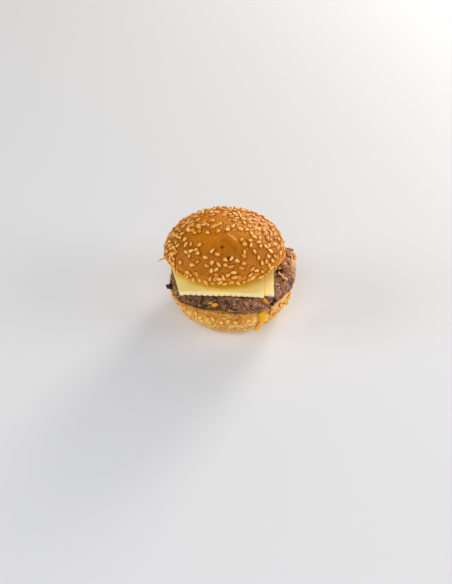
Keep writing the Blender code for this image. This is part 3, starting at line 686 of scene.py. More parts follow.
def make_crown(crust, sesame):
    """Rings of the cut face, the tucked rim and the dome, with fine relief along the normals."""
    angle = np.linspace(0, TURN, CRUST_COLUMNS, endpoint=False)
    share = np.linspace(0.02, 0.965, 34)[:, None]
    flat = rings(share * crown_radius(0, angle), 0, angle)
    flat[..., 2] += np.abs(0.25 * MM * layered_noise(flat, 2.2 * MM, 41))
    flat = pressed(flat)
    tuck_z = np.linspace(0.1, 0.93, 7)[:, None] * CROWN_WIDE_Z
    tuck = rings(crown_radius(tuck_z, angle), tuck_z, angle)
    climb = np.linspace(0, 0.992, 150)[:, None]
    dome, _ = dome_point(climb + 0 * angle, angle + 0 * climb)
    places = scatter(CROWN_SEEDS, CROWN_EXTRA_SEEDS, crown_seed_proposal, 8)
    places = [place for place in places if clear_of_fold(place[0])]
    rows = np.concatenate([flat, tuck, dome])
    is_crust = np.concatenate([np.zeros(len(flat)), np.ones(len(tuck) + len(dome))])[:, None] + 0 * angle
    normal = grid_normals(rows)
    near = seed_nearness(rows.reshape(-1, 3), places).reshape(rows.shape[:2])
    x, y = rows[..., 0], rows[..., 1]
    lumps = 0.24 * MM * layered_noise(rows, 9 * MM, 1) + 0.14 * MM * value_noise(rows, 3.2 * MM, 4)
    low = 1 - smooth_step(rows[..., 2], 1 * MM, 5 * MM)
    relief = lumps * (1 + 1.2 * low) + 0.08 * MM * layered_noise(rows, 1.2 * MM, 5)
    relief += socket_relief(near)
    burn = np.zeros_like(x)
    for (mark_x, mark_y), radius, depth, burnt in CROWN_MARKS:
        spot = hump(np.hypot(x - mark_x * MM, y - mark_y * MM), radius * MM) * (rows[..., 2] > CROWN_WIDE_Z)
        relief -= depth * MM * spot
        burn = np.maximum(burn, burnt * spot)
    rows = rows + normal * (relief * is_crust)[..., None]
    poles = [pressed(np.zeros(3)), dome_point(np.array(1.0), np.array(0.0))[0]]
    lip, bowl = fold_parts(x, y)
    upper = rows[..., 2] > CROWN_WIDE_Z
    attributes = {
        "crumb": 1 - is_crust,
        "burn": burn * is_crust,
        # painted shade: the crust darkened round each seed, where the seed meets it
        "seed_contact_shade": hump(near - 1.1, 0.3) * is_crust,
        # partly painted: random browning, plus painted shade in the bowl under the fold
        "bake_and_fold_shade": np.clip(0.45 + 0.30 * layered_noise(rows, 11 * MM, 9) + 0.35 * bowl * upper, 0, 1),
        # painted highlight along the lip of the fold
        "fold_highlight": lip * upper * (0.4 + 0.6 * smooth_step(x, 0, 3 * MM)),
        # painted light: paler towards the rim, where light comes up from below
        "rim": low * is_crust,
        # painted light: the top of the dome is made lighter and its lower part darker
        "height": smooth_step(rows[..., 2], 12 * MM, 21 * MM) * is_crust,
    }
    poles = crown_to_world(np.array(poles))
    crown = closed_skin("crown_crust", crown_to_world(rows), poles, crust, attributes)
    wear(crown, "crown")
    seeds = sow("crown_sesame", places, 31, CROWN_SEED_BRIM, CROWN_LOW_SEED_SHADE, sesame, crown_to_world)
    wear(seeds, "crown")


def make_heel(crust, sesame):
    """Rings of the flat base, its rounded foot, the side, the rounded shoulder and the dished cut face."""
    angle = np.linspace(0, TURN, CRUST_COLUMNS, endpoint=False)
    base_radius = HEEL_BASE_R * waviness(angle, HEEL_WAVES)
    base = rings(np.linspace(0.02, 0.97, 14)[:, None] * base_radius, 0, angle)
    foot_z = (np.linspace(0.08, 1, 6)[:, None] ** 1.6) * HEEL_FOOT
    foot_share = smooth_step(foot_z, -0.6 * HEEL_FOOT, HEEL_FOOT)
    foot_radius = base_radius * (1 - foot_share) + heel_radius(foot_z, angle) * foot_share
    foot = rings(foot_radius, foot_z, angle)
    shoulder_z = HEEL_CUT_Z - HEEL_SHOULDER
    side_z = np.linspace(HEEL_FOOT * 1.1, shoulder_z, 96)[:, None]
    side = rings(heel_radius(side_z, angle), side_z, angle)
    bend = np.linspace(0.1, 1, 9)[:, None] * math.pi / 2
    top_radius = heel_radius(shoulder_z, angle) - HEEL_SHOULDER * (1 - np.cos(bend))
    shoulder = rings(top_radius, shoulder_z + HEEL_SHOULDER * np.sin(bend), angle)
    share = np.linspace(0.97, 0.02, 30)[:, None]
    cut = rings(top_radius[-1] * share, HEEL_CUT_Z - HEEL_DISH * (1 - share**2), angle)
    rows = np.concatenate([base, foot, side, shoulder, cut])
    counts = (len(base), len(foot), len(side), len(shoulder), len(cut))
    crust_share = np.repeat((0.0, 0.6, 1.0, 1.0, 0.0), counts)[:, None] + 0 * angle
    places = scatter(HEEL_SEEDS, HEEL_EXTRA_SEEDS, heel_seed_proposal, 11)
    near = seed_nearness(rows.reshape(-1, 3), places).reshape(rows.shape[:2])
    relief = 0.25 * MM * layered_noise(rows, 5 * MM, 21) + 0.08 * MM * layered_noise(rows, 1.8 * MM, 25)
    rims, hollows = lost_sockets(np.degrees(angle) + 0 * share[:1], rows[..., 2])
    relief += 1.2 * socket_relief(near) + LOST_RIM * rims - LOST_HOLLOW * hollows
    crumb = 0.16 * MM * (layered_noise(rows, 1.5 * MM, 27) - 0.6)
    is_cut = np.repeat((0.0, 0.0, 0.0, 0.0, 1.0), counts)[:, None] + 0 * angle
    rows = rows + grid_normals(rows) * (relief * crust_share + crumb * is_cut)[..., None]
    rows[..., 2] = np.maximum(rows[..., 2], 0)
    level = rows[..., 2] / HEEL_CUT_Z + 0.10 * layered_noise(rows, 4 * MM, 29)
    degrees = np.degrees(angle)
    most = sum(much * hump(turn_difference(degrees, at), wide) for much, at, wide in HEEL_BROWNED)
    baked = smooth_step(level, *HEEL_BROWNED_FROM) * np.minimum(HEEL_BROWNED_LEAST + most, 1)
    torn = smooth_step(rows[..., 2] + 0.9 * MM * layered_noise(rows, 2.4 * MM, 33), *HEEL_TORN_Z)
    torn = torn * hump(turn_difference(degrees, HEEL_TORN_AT[0]), HEEL_TORN_AT[1])
    attributes = {
        "crumb": np.maximum(is_cut, 0.85 * torn),
        # painted shade: the crust darkened round each seed, where the seed meets it
        "seed_contact_shade": hump(near - 1.15, 0.4) * crust_share,
        "socket": rims * crust_share,
        "baked": baked,
    }
    poles = [(0, 0, 0), (0, 0, HEEL_CUT_Z - HEEL_DISH)]
    heel = closed_skin("heel_crust", rows, poles, crust, attributes)
    wear(heel, "heel")
    seeds = sow("heel_sesame", places, 37, HEEL_SEED_BRIM, 0, sesame, lambda points: points)
    wear(seeds, "heel")


def make_patty(meat):
    """Rings of a rounded slab: across, a power curve from its flat base over its side to its flat top.

    The mince is grains of two sizes, each a low dome, with cracks where grains meet.
    """
    angle = np.linspace(-math.pi, math.pi, PATTY_COLUMNS, endpoint=False)
    degrees = np.degrees(angle)
    outline = patty_outline(degrees)
    climb = np.linspace(-1, 1, 74)[:, None] * math.pi / 2
    rise = np.sign(climb) * np.abs(np.sin(climb)) ** (2 / EDGE_POWER)
    reach = EDGE_INNER + (1 - EDGE_INNER) * np.abs(np.cos(climb)) ** (2 / EDGE_POWER)
    inner = np.linspace(0.02, EDGE_INNER - 0.01, 28)[:, None]
    share = np.concatenate([inner, reach, inner[::-1]])
    height = np.concatenate([0 * inner, (rise + 1) / 2, 1 + 0 * inner])
    x = PATTY_X + outline * share * np.cos(angle)
    y = PATTY_Y + outline * share * np.sin(angle)
    top = patty_top(y)
    rows = np.stack([x, y, PATTY_BASE_Z + (top - PATTY_BASE_Z) * height], axis=-1)
    normal = grid_normals(rows)
    side = smooth_step(share, EDGE_INNER - 0.02, EDGE_INNER + 0.1) + 0 * angle
    broken = hump(turn_difference(degrees, CRAG_ANGLE), CRAG_SPREAD) * smooth_step(x, *CRAG_X) * height
    drift = np.stack([layered_noise(rows, 2.6 * MM, 101 + k) for k in range(3)], axis=-1)
    first, second, own = nearest_grains(rows + 1.1 * MM * drift, GRAIN_SIZE, 51)
    fine, _, fine_own = nearest_grains(rows + 0.5 * MM * drift, FINE_GRAIN_SIZE, 61)
    domes = np.sqrt(np.clip(1 - first**2, 0, 1))
    small = np.sqrt(np.clip(1 - fine**2, 0, 1))
    cracks = (1 - smooth_step(second - first, 0, 0.22)) * smooth_step(own, 0.3, 0.8)
    right = smooth_step(x + 5 * MM * drift[..., 1], -8 * MM, 14 * MM)
    pits = smooth_step(layered_noise(rows, 2.6 * MM, 131), 0.35, 0.9) * (1 - 0.5 * right)
    relief = GRAIN_HEIGHT * (domes - 0.75) + FINE_GRAIN_HEIGHT * (small - 0.75)
    relief -= CRACK_DEPTH * cracks + PIT_DEPTH * pits
    relief += 0.35 * MM * layered_noise(rows, 7 * MM, 71) + 0.28 * MM * layered_noise(rows, 1.6 * MM, 75)
    rough = layered_noise(rows * (1, 1, 0), 3.4 * MM, 81)
    knobs, next_knob, knob_own = nearest_grains(rows * (1, 1, 0.5) + 1.2 * MM * drift, KNOB_SIZE, 85)
    seams = broken * (1 - smooth_step(next_knob - knobs, 0.02, 0.22))
    lift = CRAG_RISE + CRAG_ROUGH * rough + KNOB_HEIGHT * (0.55 - knobs)
    rows[..., 2] += (broken * lift - SEAM_DEPTH * seams) * smooth_step(height, 0.3, 1)
    cavity = bump_field(x, y, CAVITY_AT, CAVITY_SIZE) * smooth_step(height, 0.5, 1)
    rows[..., 2] -= CAVITY_DEPTH * cavity
    amount = np.maximum(side, broken)
    rows = rows + normal * (relief * amount)[..., None]
    attributes = {
        "grain": own,
        "speck": fine_own,
        "knob": knob_own,
        # painted shade: near black in the cracks, pits and seams
        "crack_shade": np.clip(cracks + 0.3 * (1 - small) + pits + 0.65 * seams, 0, 1),
        "broken": np.maximum(broken, 0.3 * smooth_step(x, 20 * MM, 26 * MM)),
        # painted shade in the hollow of the broken edge
        "cavity": cavity,
        "right": right,
    }
    poles = [(PATTY_X, PATTY_Y, PATTY_BASE_Z), (PATTY_X, PATTY_Y, patty_top(PATTY_Y))]
    patty = closed_skin("patty_mince", rows, poles, meat, attributes)
    wear(patty, "patty")


def lump_points(centre, radii, salt):
    """Rings of an ellipsoid, made uneven by noise; no poles."""
    climb = np.linspace(-1, 1, LUMP_RINGS + 2)[1:-1, None] * math.pi / 2
    around = np.linspace(0, TURN, LUMP_SIDES, endpoint=False)
    unit = rings(np.cos(climb) + 0 * around, np.sin(climb), around)
    uneven = 1 + LUMP_UNEVEN * layered_noise(unit, 0.75, salt)[..., None]
    return np.array(centre) * MM + unit * uneven * np.array(radii) * MM


def strand_points(first, last, radius, index):
    """Rings along a line that wanders by noise, almost as thick all along and rounded at both ends."""
    first, last = np.array(first) * MM, np.array(last) * MM
    t = np.linspace(0, 1, STRAND_STEPS)[:, None]
    wander = np.stack([value_noise(t * (3, 0, 0) + index * 10, 1.0, 400 + k) for k in range(3)], axis=-1)
    spine = first + (last - first) * t + STRAND_WANDER * wander
    ahead = (last - first) / np.linalg.norm(last - first)
    across = np.cross(ahead, (0, 0, 1.0))
    around = np.linspace(0, TURN, STRAND_SIDES, endpoint=False)[None, :, None]
    thick = radius * MM * np.sqrt(np.clip(1 - (2 * t - 1) ** 4, 0.03, 1))[:, :, None]
    ring = across * np.cos(around) + np.cross(ahead, across) * np.sin(around)
    rows = spine[:, None] + ring * thick
    return rows + ring * 0.18 * MM * layered_noise(rows, 1.1 * MM, 410 + index)[..., None]


def make_bits(coat):
    """Lumps of char, crisp onion and torn meat, and a few strands, as one piece."""
    points, faces, kinds = [], [], {"burnt": [], "golden": [], "pale": []}
    start = 0
    shapes = [
        (lump_points(centre, radii, 300 + 7 * index), kind)
        for index, (centre, radii, *kind) in enumerate(BITS)
    ]
    shapes += [(strand_points(*strand, index), STRAND_KIND) for index, strand in enumerate(STRANDS)]
    for rows, kind in shapes:
        count, columns = rows.shape[:2]
        size = count * columns
        points.append(np.concatenate([rows.reshape(-1, 3), [rows[0].mean(axis=0), rows[-1].mean(axis=0)]]))
        faces += ring_faces(count, columns, start)
        faces += pole_faces(columns, start + size, start, True)
        faces += pole_faces(columns, start + size + 1, start + size - columns, False)
        for values, value in zip(kinds.values(), kind):
            values.append(np.full(size + 2, value))
        start += size + 2
    values = {key: np.concatenate(one) for key, one in kinds.items()}
    piece = add_mesh("patty_bits", np.concatenate(points), faces, coat, values)
    wear(piece, "patty")


def make_slice(name, node, corners, base_at, material):
    """A bent sheet: a grid between four corners, its front edge a row of shallow half waves.

    "under" is painted shade and bounce light under the crown and by the upper slice; "lip" is painted light
    at edges.
    """
    waves = round(np.linalg.norm(corners[1] - corners[0]) / SCALLOP)
    columns = waves * SCALLOP_STEPS + 1
    u = np.linspace(0, 1, columns)[None, :, None]
    v = (np.linspace(0, 1, SLICE_ROWS) ** SLICE_GRADING)[:, None, None]
    front = corners[0] * (1 - u) + corners[1] * u
    rear = corners[3] * (1 - u) + corners[2] * u
    place = front * (1 - v) + rear * v
    uneven = 1 + 0.6 * value_noise(u * (waves, 0, 0), 1.7, 93)
    edge = SCALLOP_DEPTH * uneven * np.abs(np.sin(math.pi * waves * u[..., 0]))
    edge = edge * (1 - smooth_step(v[..., 0], 0, 0.02))
    x, y = place[..., 0], place[..., 1] - edge
    wavy = 0.12 * MM * value_noise(np.stack([x, y, 0 * x], axis=-1), 14 * MM, 91)
    base = base_at(x, y) + np.maximum(wavy, -GAP / 3)
    low = np.stack([x, y, base], axis=-1)
    high = low + (0, 0, SLICE_THICK)
    count = SLICE_ROWS * columns
    points = np.concatenate([low.reshape(-1, 3), high.reshape(-1, 3)])
    index = np.arange(count).reshape(SLICE_ROWS, columns)
    a, b, c, d = index[:-1, :-1], index[:-1, 1:], index[1:, 1:], index[1:, :-1]
    under = np.stack([a, d, c, b], axis=-1).reshape(-1, 4)
    over = np.stack([a, b, c, d], axis=-1).reshape(-1, 4) + count
    rim = np.concatenate([index[0, :-1], index[:-1, -1], index[-1, :0:-1], index[:0:-1, 0]])
    after = np.roll(rim, -1)
    walls = np.stack([rim, after, after + count, rim + count], axis=-1)
    faces = np.concatenate([under, over, walls]).tolist()
    from_axis = np.hypot(x - CROWN_CENTRE[0], y - CROWN_CENTRE[1])
    is_lower = base_at is lower_slice_base
    # painted light: the front edge paler, a painted highlight on the upper slice's right edge, the right half
    # paler
    lit_front_edge = 1 - smooth_step(v[..., 0] + 0 * u[..., 0], 0.0, 0.03)
    right_edge_highlight = 0.7 * smooth_step(x, corners[1][0] - 1.4 * MM, corners[1][0] - 0.6 * MM)
    right_half = 0.5 * smooth_step(x, 6 * MM, 16 * MM) + 0.15 * is_lower
    lip = np.maximum(np.maximum(lit_front_edge, right_edge_highlight), right_half)
    # painted shade on the lower slice along the upper slice's right edge
    step_shade = hump(x - UPPER_SLICE[1][0] - 0.5 * MM, 0.6 * MM) * is_lower
    values = {
        # painted shade and orange bounce light under the crown
        "under": np.maximum(1 - smooth_step(from_axis, *CROWN_SHADE_REACH), 0.45 * step_shade),
        "lip": lip * (1 - step_shade),
    }
    values = {key: np.tile(one.ravel(), 2) for key, one in values.items()}
    piece = add_mesh(name, points, faces, material, values)
    bevel = piece.modifiers.new("soft_edge", "BEVEL")
    bevel.width = SLICE_BEVEL
    bevel.segments = 2
    bevel.limit_method = "ANGLE"
    bevel.angle_limit = math.radians(50)
    wear(piece, node)


def sweep(name, spine, sideways, half_width, half_thick, node, material, columns=20):
    """An oval carried along a spine, half_width across and half_thick through at each of its points."""
    ahead = np.gradient(spine, axis=0)
    ahead /= np.linalg.norm(ahead, axis=1, keepdims=True)
    across = sideways - np.sum(sideways * ahead, axis=1, keepdims=True) * ahead
    across /= np.linalg.norm(across, axis=1, keepdims=True)
    through = np.cross(ahead, across)
    around = np.linspace(0, TURN, columns, endpoint=False)[None, :, None]
    rows = spine[:, None] + across[:, None] * half_width[:, None, None] * np.cos(around)
    rows = rows + through[:, None] * half_thick[:, None, None] * np.sin(around)
    fibre = FIBRE * value_noise(rows * (1, 1, 0.15), 0.7 * MM, 95)[..., None]
    rows = rows + fibre * (across[:, None] * np.cos(around) + through[:, None] * np.sin(around))
    run = np.linspace(0, 1, len(spine))[:, None] + 0 * around[..., 0]
    piece = closed_skin(name, rows, [spine[0], spine[-1]], material, {"run": run})
    piece.data.flip_normals()
    wear(piece, node)


def blunt_ends(count, share):
    """1 along the middle, rounded to a small value at either end, over this share of the length."""
    t = np.linspace(0, 1, count)
    edge = np.clip(np.minimum(t, 1 - t) / share, 0, 1)
    return np.sqrt(np.clip(1 - (1 - edge) ** 2, 0.02, 1))


def make_onion(onion):
    """The strip hangs from the heel's rim along its crust; the wisp lies on the meat and sticks out."""
    out = np.array((math.cos(STRIP_ANGLE), math.sin(STRIP_ANGLE), 0))
    side = np.array((-out[1], out[0], 0))
    t = np.linspace(0, 1, STRIP_STEPS)
    z = STRIP_TOP_Z + (STRIP_END_Z - STRIP_TOP_Z) * t
    radius = heel_radius(np.maximum(z, STRIP_FREE_Z), STRIP_ANGLE) + STRIP_CLEAR + STRIP_THICK / 2
    drift = STRIP_BOW * np.sin(math.pi * t) - STRIP_LEAN * t
    spine = out * radius[:, None] + side * drift[:, None] + np.array((0, 0, 1.0)) * z[:, None]
    ends = blunt_ends(STRIP_STEPS, 0.05)
    width = STRIP_WIDTH + STRIP_FLARE * (1 - t) ** 3
    sweep("onion_hanging", spine, side, width / 2 * ends, STRIP_THICK / 2 * ends, "onion_strip", onion)
    t = np.linspace(0, 1, WISP_STEPS)[:, None]
    spine = WISP_START * (1 - t) + WISP_END * t + np.array((0, 0, WISP_ARCH)) * np.sin(math.pi * t)
    ends = blunt_ends(WISP_STEPS, 0.12) * WISP_THICK / 2
    sweep("onion_thread", spine, np.array((0, 1.0, 0)), ends, ends, "onion_wisp", onion, 12)


def linear(red, green, blue):
    """A colour given as seen on a screen, 0 to 255, as a shader takes it."""
    shares = (np.array((red, green, blue)) / 255 + 0.055) / 1.055
    return (*(float(c) for c in shares**2.4), 1.0)


class Nodes:
    """A node tree, with short ways to add nodes and join them."""

    def __init__(self, tree):
        self.nodes, self.links = tree.nodes, tree.links

    def put(self, socket, value):
        """Joins a socket to another one, or sets it to a constant."""
        if isinstance(value, bpy.types.NodeSocket):
            self.links.new(value, socket)
        else:
            socket.default_value = value

    def add(self, kind, sockets, output, **settings):
        """A node of this kind with these settings and input sockets; gives its output socket."""
        node = self.nodes.new("ShaderNode" + kind)
        for key, value in settings.items():
            setattr(node, key, value)
        for key, value in sockets.items():
            self.put(node.inputs[key], value)
        return node.outputs[output]

    def place(self):
        return self.add("TexCoord", {}, "Object")

    def attribute(self, name):
        return self.add("Attribute", {}, "Fac", attribute_name=name)

    def noise(self, scale, detail=3.0, rough=0.5):
        sockets = {"Vector": self.place(), "Scale": scale, "Detail": detail, "Roughness": rough}
        return self.add("TexNoise", sockets, "Fac")

    def times(self, a, b):
        return self.add("Math", {0: a, 1: b}, 0, operation="MULTIPLY")

    def range(self, value, low, high, start=0.0, end=1.0):
        """From start at low to end at high, by a smooth step."""
        sockets = {"Value": value, "From Min": low, "From Max": high, "To Min": start, "To Max": end}
        return self.add("MapRange", sockets, "Result", interpolation_type="SMOOTHSTEP")

    def rise(self, name, low, high, most=1.0):
        """How far an attribute has risen from low to high, times most."""
        return self.range(self.attribute(name), low, high, 0.0, most)

    def specks(self, scale, low, high, most=1.0, detail=3.0):
        """Where noise rises from low to high, times most."""
        return self.range(self.noise(scale, detail), low, high, 0.0, most)

    def mix(self, share, a, b):
        return self.add("Mix", {"Factor": share, "A": a, "B": b}, "Result", data_type="RGBA")

    def spots(self, places):
        """1 within each spot: a place and a radius in millimetres."""
        found = 0.0
        for place, radius in places:
            sockets = {0: self.place(), 1: [c * MM for c in place]}
            away = self.add("VectorMath", sockets, "Value", operation="DISTANCE")
            spot = self.range(away, radius * 0.6 * MM, radius * 1.2 * MM, 1.0, 0.0)
            found = self.add("Math", {0: found, 1: spot}, 0, operation="MAXIMUM")
        return found

    def bump(self, height, distance, strength, **under):
        """A normal raised by height, over the Normal of another bump where one is given."""
        sockets = {"Distance": distance, "Strength": strength, "Height": height, **under}
        return self.add("Bump", sockets, "Normal")

    def mottled(self, tree, patch, fine, share, light, dark):
        """Two colours blended by the mottle group, with the scales of its patches and of its finer part."""
        sockets = {"Patch Scale": patch, "Fine Scale": fine, "Fine Share": share}
        sockets.update({"Light Colour": light, "Dark Colour": dark})
        return self.add("Group", sockets, "Colour", node_tree=tree)


class Shading(Nodes):
    """A material of this name, with the nodes that feed its shader."""

    def __init__(self, name):
        self.material = bpy.data.materials.new(name)
        self.material.use_nodes = True
        super().__init__(self.material.node_tree)

    def finish(self, **sockets):
        """Joins or sets the shader's sockets, named with _ for a space, and gives the material."""
        for key, value in sockets.items():
            self.put(self.nodes["Principled BSDF"].inputs[key.replace("_", " ")], value)
        return self.material


def mottle_group():
    """Blends two colours by soft patches with finer mottling inside them."""
    tree = bpy.data.node_groups.new("mottle", "ShaderNodeTree")
    kinds = {"Patch Scale": "Float", "Fine Scale": "Float", "Fine Share": "Float"}
    kinds.update({"Light Colour": "Color", "Dark Colour": "Color"})
    for name, kind in kinds.items():
        tree.interface.new_socket(name, in_out="INPUT", socket_type="NodeSocket" + kind)
    tree.interface.new_socket("Colour", in_out="OUTPUT", socket_type="NodeSocketColor")
    s = Nodes(tree)
    given = s.nodes.new("NodeGroupInput").outputs
    made = s.nodes.new("NodeGroupOutput").inputs
    patches = s.noise(given["Patch Scale"], 4.0)
    fine = s.noise(given["Fine Scale"], 4.0)
    both = s.add("Mix", {"Factor": given["Fine Share"], "A": patches, "B": fine}, "Result")
    spread = s.add("MapRange", {"Value": both, "From Min": 0.32, "From Max": 0.68}, "Result")
    s.put(made["Colour"], s.mix(spread, given["Light Colour"], given["Dark Colour"]))
    return tree


def golden_crust(mottle):
    """Golden-brown crust, dull glaze, fine pores, darker where baked; painted shade round seeds and in the
    fold.
    """
    s = Shading("golden_crust")
    skin = s.mottled(mottle, 130.0, 900.0, 0.4, linear(208, 126, 12), linear(180, 98, 2))
    # painted light: lighter towards the top of the dome, darker on its lower part
    skin = s.mix(s.times(s.attribute("height"), 0.5), skin, linear(236, 144, 8))
    skin = s.mix(s.range(s.attribute("height"), 0.05, 0.5, 0.5, 0.0), skin, linear(164, 94, 12))
    # painted shade in the fold's bowl, over random browning
    colour = s.mix(s.rise("bake_and_fold_shade", 0.35, 0.95, 0.85), skin, linear(166, 90, 2))
    # painted highlight on the fold's lip
    colour = s.mix(s.rise("fold_highlight", 0.4, 0.95, 0.8), colour, linear(246, 160, 66))
    # painted light: paler towards the rim, where light comes up from below
    colour = s.mix(s.rise("rim", 0.0, 1.0, 0.85), colour, linear(246, 166, 52))
    colour = s.mix(s.specks(1500.0, 0.35, 0.65, 0.4), colour, linear(160, 84, 2))
    colour = s.mix(s.specks(1700.0, 0.56, 0.70, 0.6), colour, linear(240, 168, 74))
    # painted shade round each seed
    colour = s.mix(s.rise("seed_contact_shade", 0.2, 1.0, 0.7), colour, linear(142, 72, 0))
    colour = s.mix(s.rise("burn", 0.15, 0.9, 0.92), colour, linear(84, 28, 10))
    crumb = s.mix(s.noise(700.0), linear(246, 214, 130), linear(226, 180, 84))
    pores = s.bump(s.noise(2600.0, 3.0, 0.6), 0.10 * MM, 0.9)
    return s.finish(
        Base_Color=s.mix(s.attribute("crumb"), colour, crumb),
        Roughness=s.range(s.noise(500.0), 0.3, 0.7, 0.42, 0.58),
        Normal=s.bump(s.noise(1000.0, 4.0), 0.24 * MM, 0.8, Normal=pores),
        Specular_IOR_Level=0.26, Specular_Tint=(1.0, 0.76, 0.42, 1.0),
        Subsurface_Weight=0.08, Subsurface_Radius=(1.0, 0.5, 0.25), Subsurface_Scale=1.0 * MM,
    )


def pale_crust(mottle):
    """Matt crust: orange tan at the shoulder, cream and yellow lower down, crumb on the cut face darkened as
    painted shade.
    """
    s = Shading("pale_crust")
    baked = s.attribute("baked")
    low = s.mottled(mottle, 160.0, 800.0, 0.4, linear(255, 228, 146), linear(248, 188, 80))
    high = s.mottled(mottle, 300.0, 1000.0, 0.45, linear(238, 162, 36), linear(168, 92, 0))
    colour = s.mix(baked, low, high)
    colour = s.mix(s.specks(1300.0, 0.35, 0.65, 0.35), colour, linear(206, 138, 40))
    browned = s.times(s.specks(420.0, 0.56, 0.66, detail=2.0), baked)
    colour = s.mix(s.times(browned, 0.7), colour, linear(140, 70, 8))
    glints = s.times(s.specks(800.0, 0.56, 0.68, detail=2.0), s.range(baked, 0.0, 0.6, 0.7, 0.0))
    colour = s.mix(glints, colour, linear(255, 240, 190))
    # painted shade round each seed
    colour = s.mix(s.rise("seed_contact_shade", 0.1, 1.0, 0.65), colour, linear(206, 122, 22))
    colour = s.mix(s.rise("socket", 0.15, 0.8, 0.9), colour, linear(218, 118, 6))
    # crumb colour darkened as painted shade under the meat
    crumb = s.mix(s.specks(900.0, 0.35, 0.65), linear(224, 170, 84), linear(158, 104, 36))
    pores = s.bump(s.noise(2200.0, 3.0, 0.6), 0.08 * MM, 0.7)
    return s.finish(
        Base_Color=s.mix(s.attribute("crumb"), colour, crumb),
        Roughness=0.62,
        Normal=s.bump(s.noise(600.0, 4.0), 0.2 * MM, 0.6, Normal=pores),
        Specular_IOR_Level=0.3,
        Subsurface_Weight=0.12, Subsurface_Radius=(1.0, 0.6, 0.3), Subsurface_Scale=1.2 * MM,
    )


def sesame_coat(name, pale, warm, toasted):
    """Sesame: each seed its own tone from pale to toasted, deeper at its tip, with painted shade on its lower
    side.
    """
    s = Shading(name)
    colour = s.mix(s.rise("tone", 0.15, 0.7), pale, warm)
    colour = s.mix(s.rise("tone", 0.72, 1.0, 0.9), colour, toasted)
    colour = s.mix(s.rise("along", 0.7, 1.0, 0.5), colour, toasted)
    # painted shade on each seed's lower side, where it meets the crust
    colour = s.mix(s.range(s.attribute("upper"), 0.98, 0.6), colour, toasted)
    return s.finish(
        Base_Color=s.mix(s.specks(1500.0, 0.40, 0.62, 0.6), colour, warm),
        Roughness=s.range(s.attribute("tone"), 0.0, 1.0, 0.28, 0.42),
        Normal=s.bump(s.noise(1800.0), 0.06 * MM, 0.6),
        Specular_IOR_Level=0.45, Specular_Tint=(1.0, 0.9, 0.74, 1.0),
        Subsurface_Weight=0.15, Subsurface_Radius=(1.0, 0.6, 0.3), Subsurface_Scale=0.8 * MM,
    )


def browned_mince(mottle):
    """Mince: yellowish brown to the left, purplish to the right, painted shade in its cracks, painted glints
    of fat.
    """
    s = Shading("browned_mince")
    right_share = s.attribute("right")
    left = s.mottled(mottle, 240.0, 1000.0, 0.5, linear(166, 110, 48), linear(74, 42, 14))
    right = s.mottled(mottle, 240.0, 1000.0, 0.5, linear(180, 112, 68), linear(86, 44, 22))
    colour = s.mix(right_share, left, right)
    colour = s.mix(s.range(s.attribute("grain"), 0.35, 0.0, 0.0, 0.65), colour, linear(62, 36, 20))
    colour = s.mix(s.rise("speck", 0.84, 0.95, 0.75), colour, linear(214, 162, 98))
    # painted glints of fat on the right
    pale = s.times(right_share, s.specks(1100.0, 0.56, 0.68, detail=2.0))
    colour = s.mix(s.times(pale, 0.7), colour, linear(236, 186, 160))
    torn = s.mix(s.rise("knob", 0.35, 0.55), linear(255, 206, 158), linear(246, 156, 64))
    torn = s.mix(s.rise("knob", 0.8, 0.9), torn, linear(134, 72, 44))
    colour = s.mix(s.rise("broken", 0.2, 0.7, 0.75), colour, torn)
    # painted shade in the cracks, pits and seams
    colour = s.mix(s.rise("crack_shade", 0.2, 0.9, 0.85), colour, linear(44, 22, 8))
    fine = s.bump(s.noise(2000.0, 4.0, 0.6), 0.14 * MM, 0.9)
    return s.finish(
        # painted shade in the hollow of the broken edge
        Base_Color=s.mix(s.rise("cavity", 0.2, 0.6, 0.95), colour, linear(52, 12, 4)),
        Roughness=s.range(s.noise(700.0), 0.38, 0.62, 0.26, 0.62),
        Normal=s.bump(s.noise(800.0, 4.0), 0.35 * MM, 0.8, Normal=fine),
        Specular_IOR_Level=0.4,
        Subsurface_Weight=0.05, Subsurface_Radius=(1.0, 0.4, 0.25), Subsurface_Scale=0.8 * MM,
    )


def browned_bits():
    """Bits on the meat: torn brown meat, burnt to near black, golden like fried onion, or pale."""
    s = Shading("browned_bits")
    meat = s.mix(s.specks(900.0, 0.35, 0.65), linear(184, 108, 62), linear(104, 52, 28))
    gold = s.mix(s.specks(700.0, 0.35, 0.65), linear(255, 190, 50), linear(232, 142, 10))
    colour = s.mix(s.attribute("pale"), meat, linear(252, 198, 156))
    colour = s.mix(s.attribute("golden"), colour, gold)
    return s.finish(
        Base_Color=s.mix(s.attribute("burnt"), colour, linear(34, 18, 12)),
        Roughness=0.38,
        Normal=s.bump(s.noise(1300.0, 4.0), 0.25 * MM, 0.9),
        Specular_IOR_Level=0.3,
        Subsurface_Weight=0.15, Subsurface_Radius=(1.0, 0.5, 0.3), Subsurface_Scale=0.8 * MM,
    )


def pale_cheese(mottle):
    """Semi-hard cheese: pale yellow that light enters, painted shade under the crown, painted light at edges,
    a few specks.
    """
    s = Shading("pale_cheese")
    colour = s.mottled(mottle, 90.0, 600.0, 0.2, linear(253, 226, 148), linear(251, 221, 132))
    # painted shade and bounce light under the crown
    colour = s.mix(s.attribute("under"), colour, linear(255, 204, 0))
    # painted light along the cut edges
    colour = s.mix(s.attribute("lip"), colour, linear(255, 228, 170))
    return s.finish(
        Base_Color=s.mix(s.spots(CHEESE_SPECKS), colour, linear(150, 96, 20)),
        Roughness=0.42,
        Normal=s.bump(s.noise(900.0, 3.0), 0.05 * MM, 0.4),
        Subsurface_Weight=0.6, Subsurface_Radius=(1.0, 0.75, 0.25), Subsurface_Scale=3.0 * MM,
    )


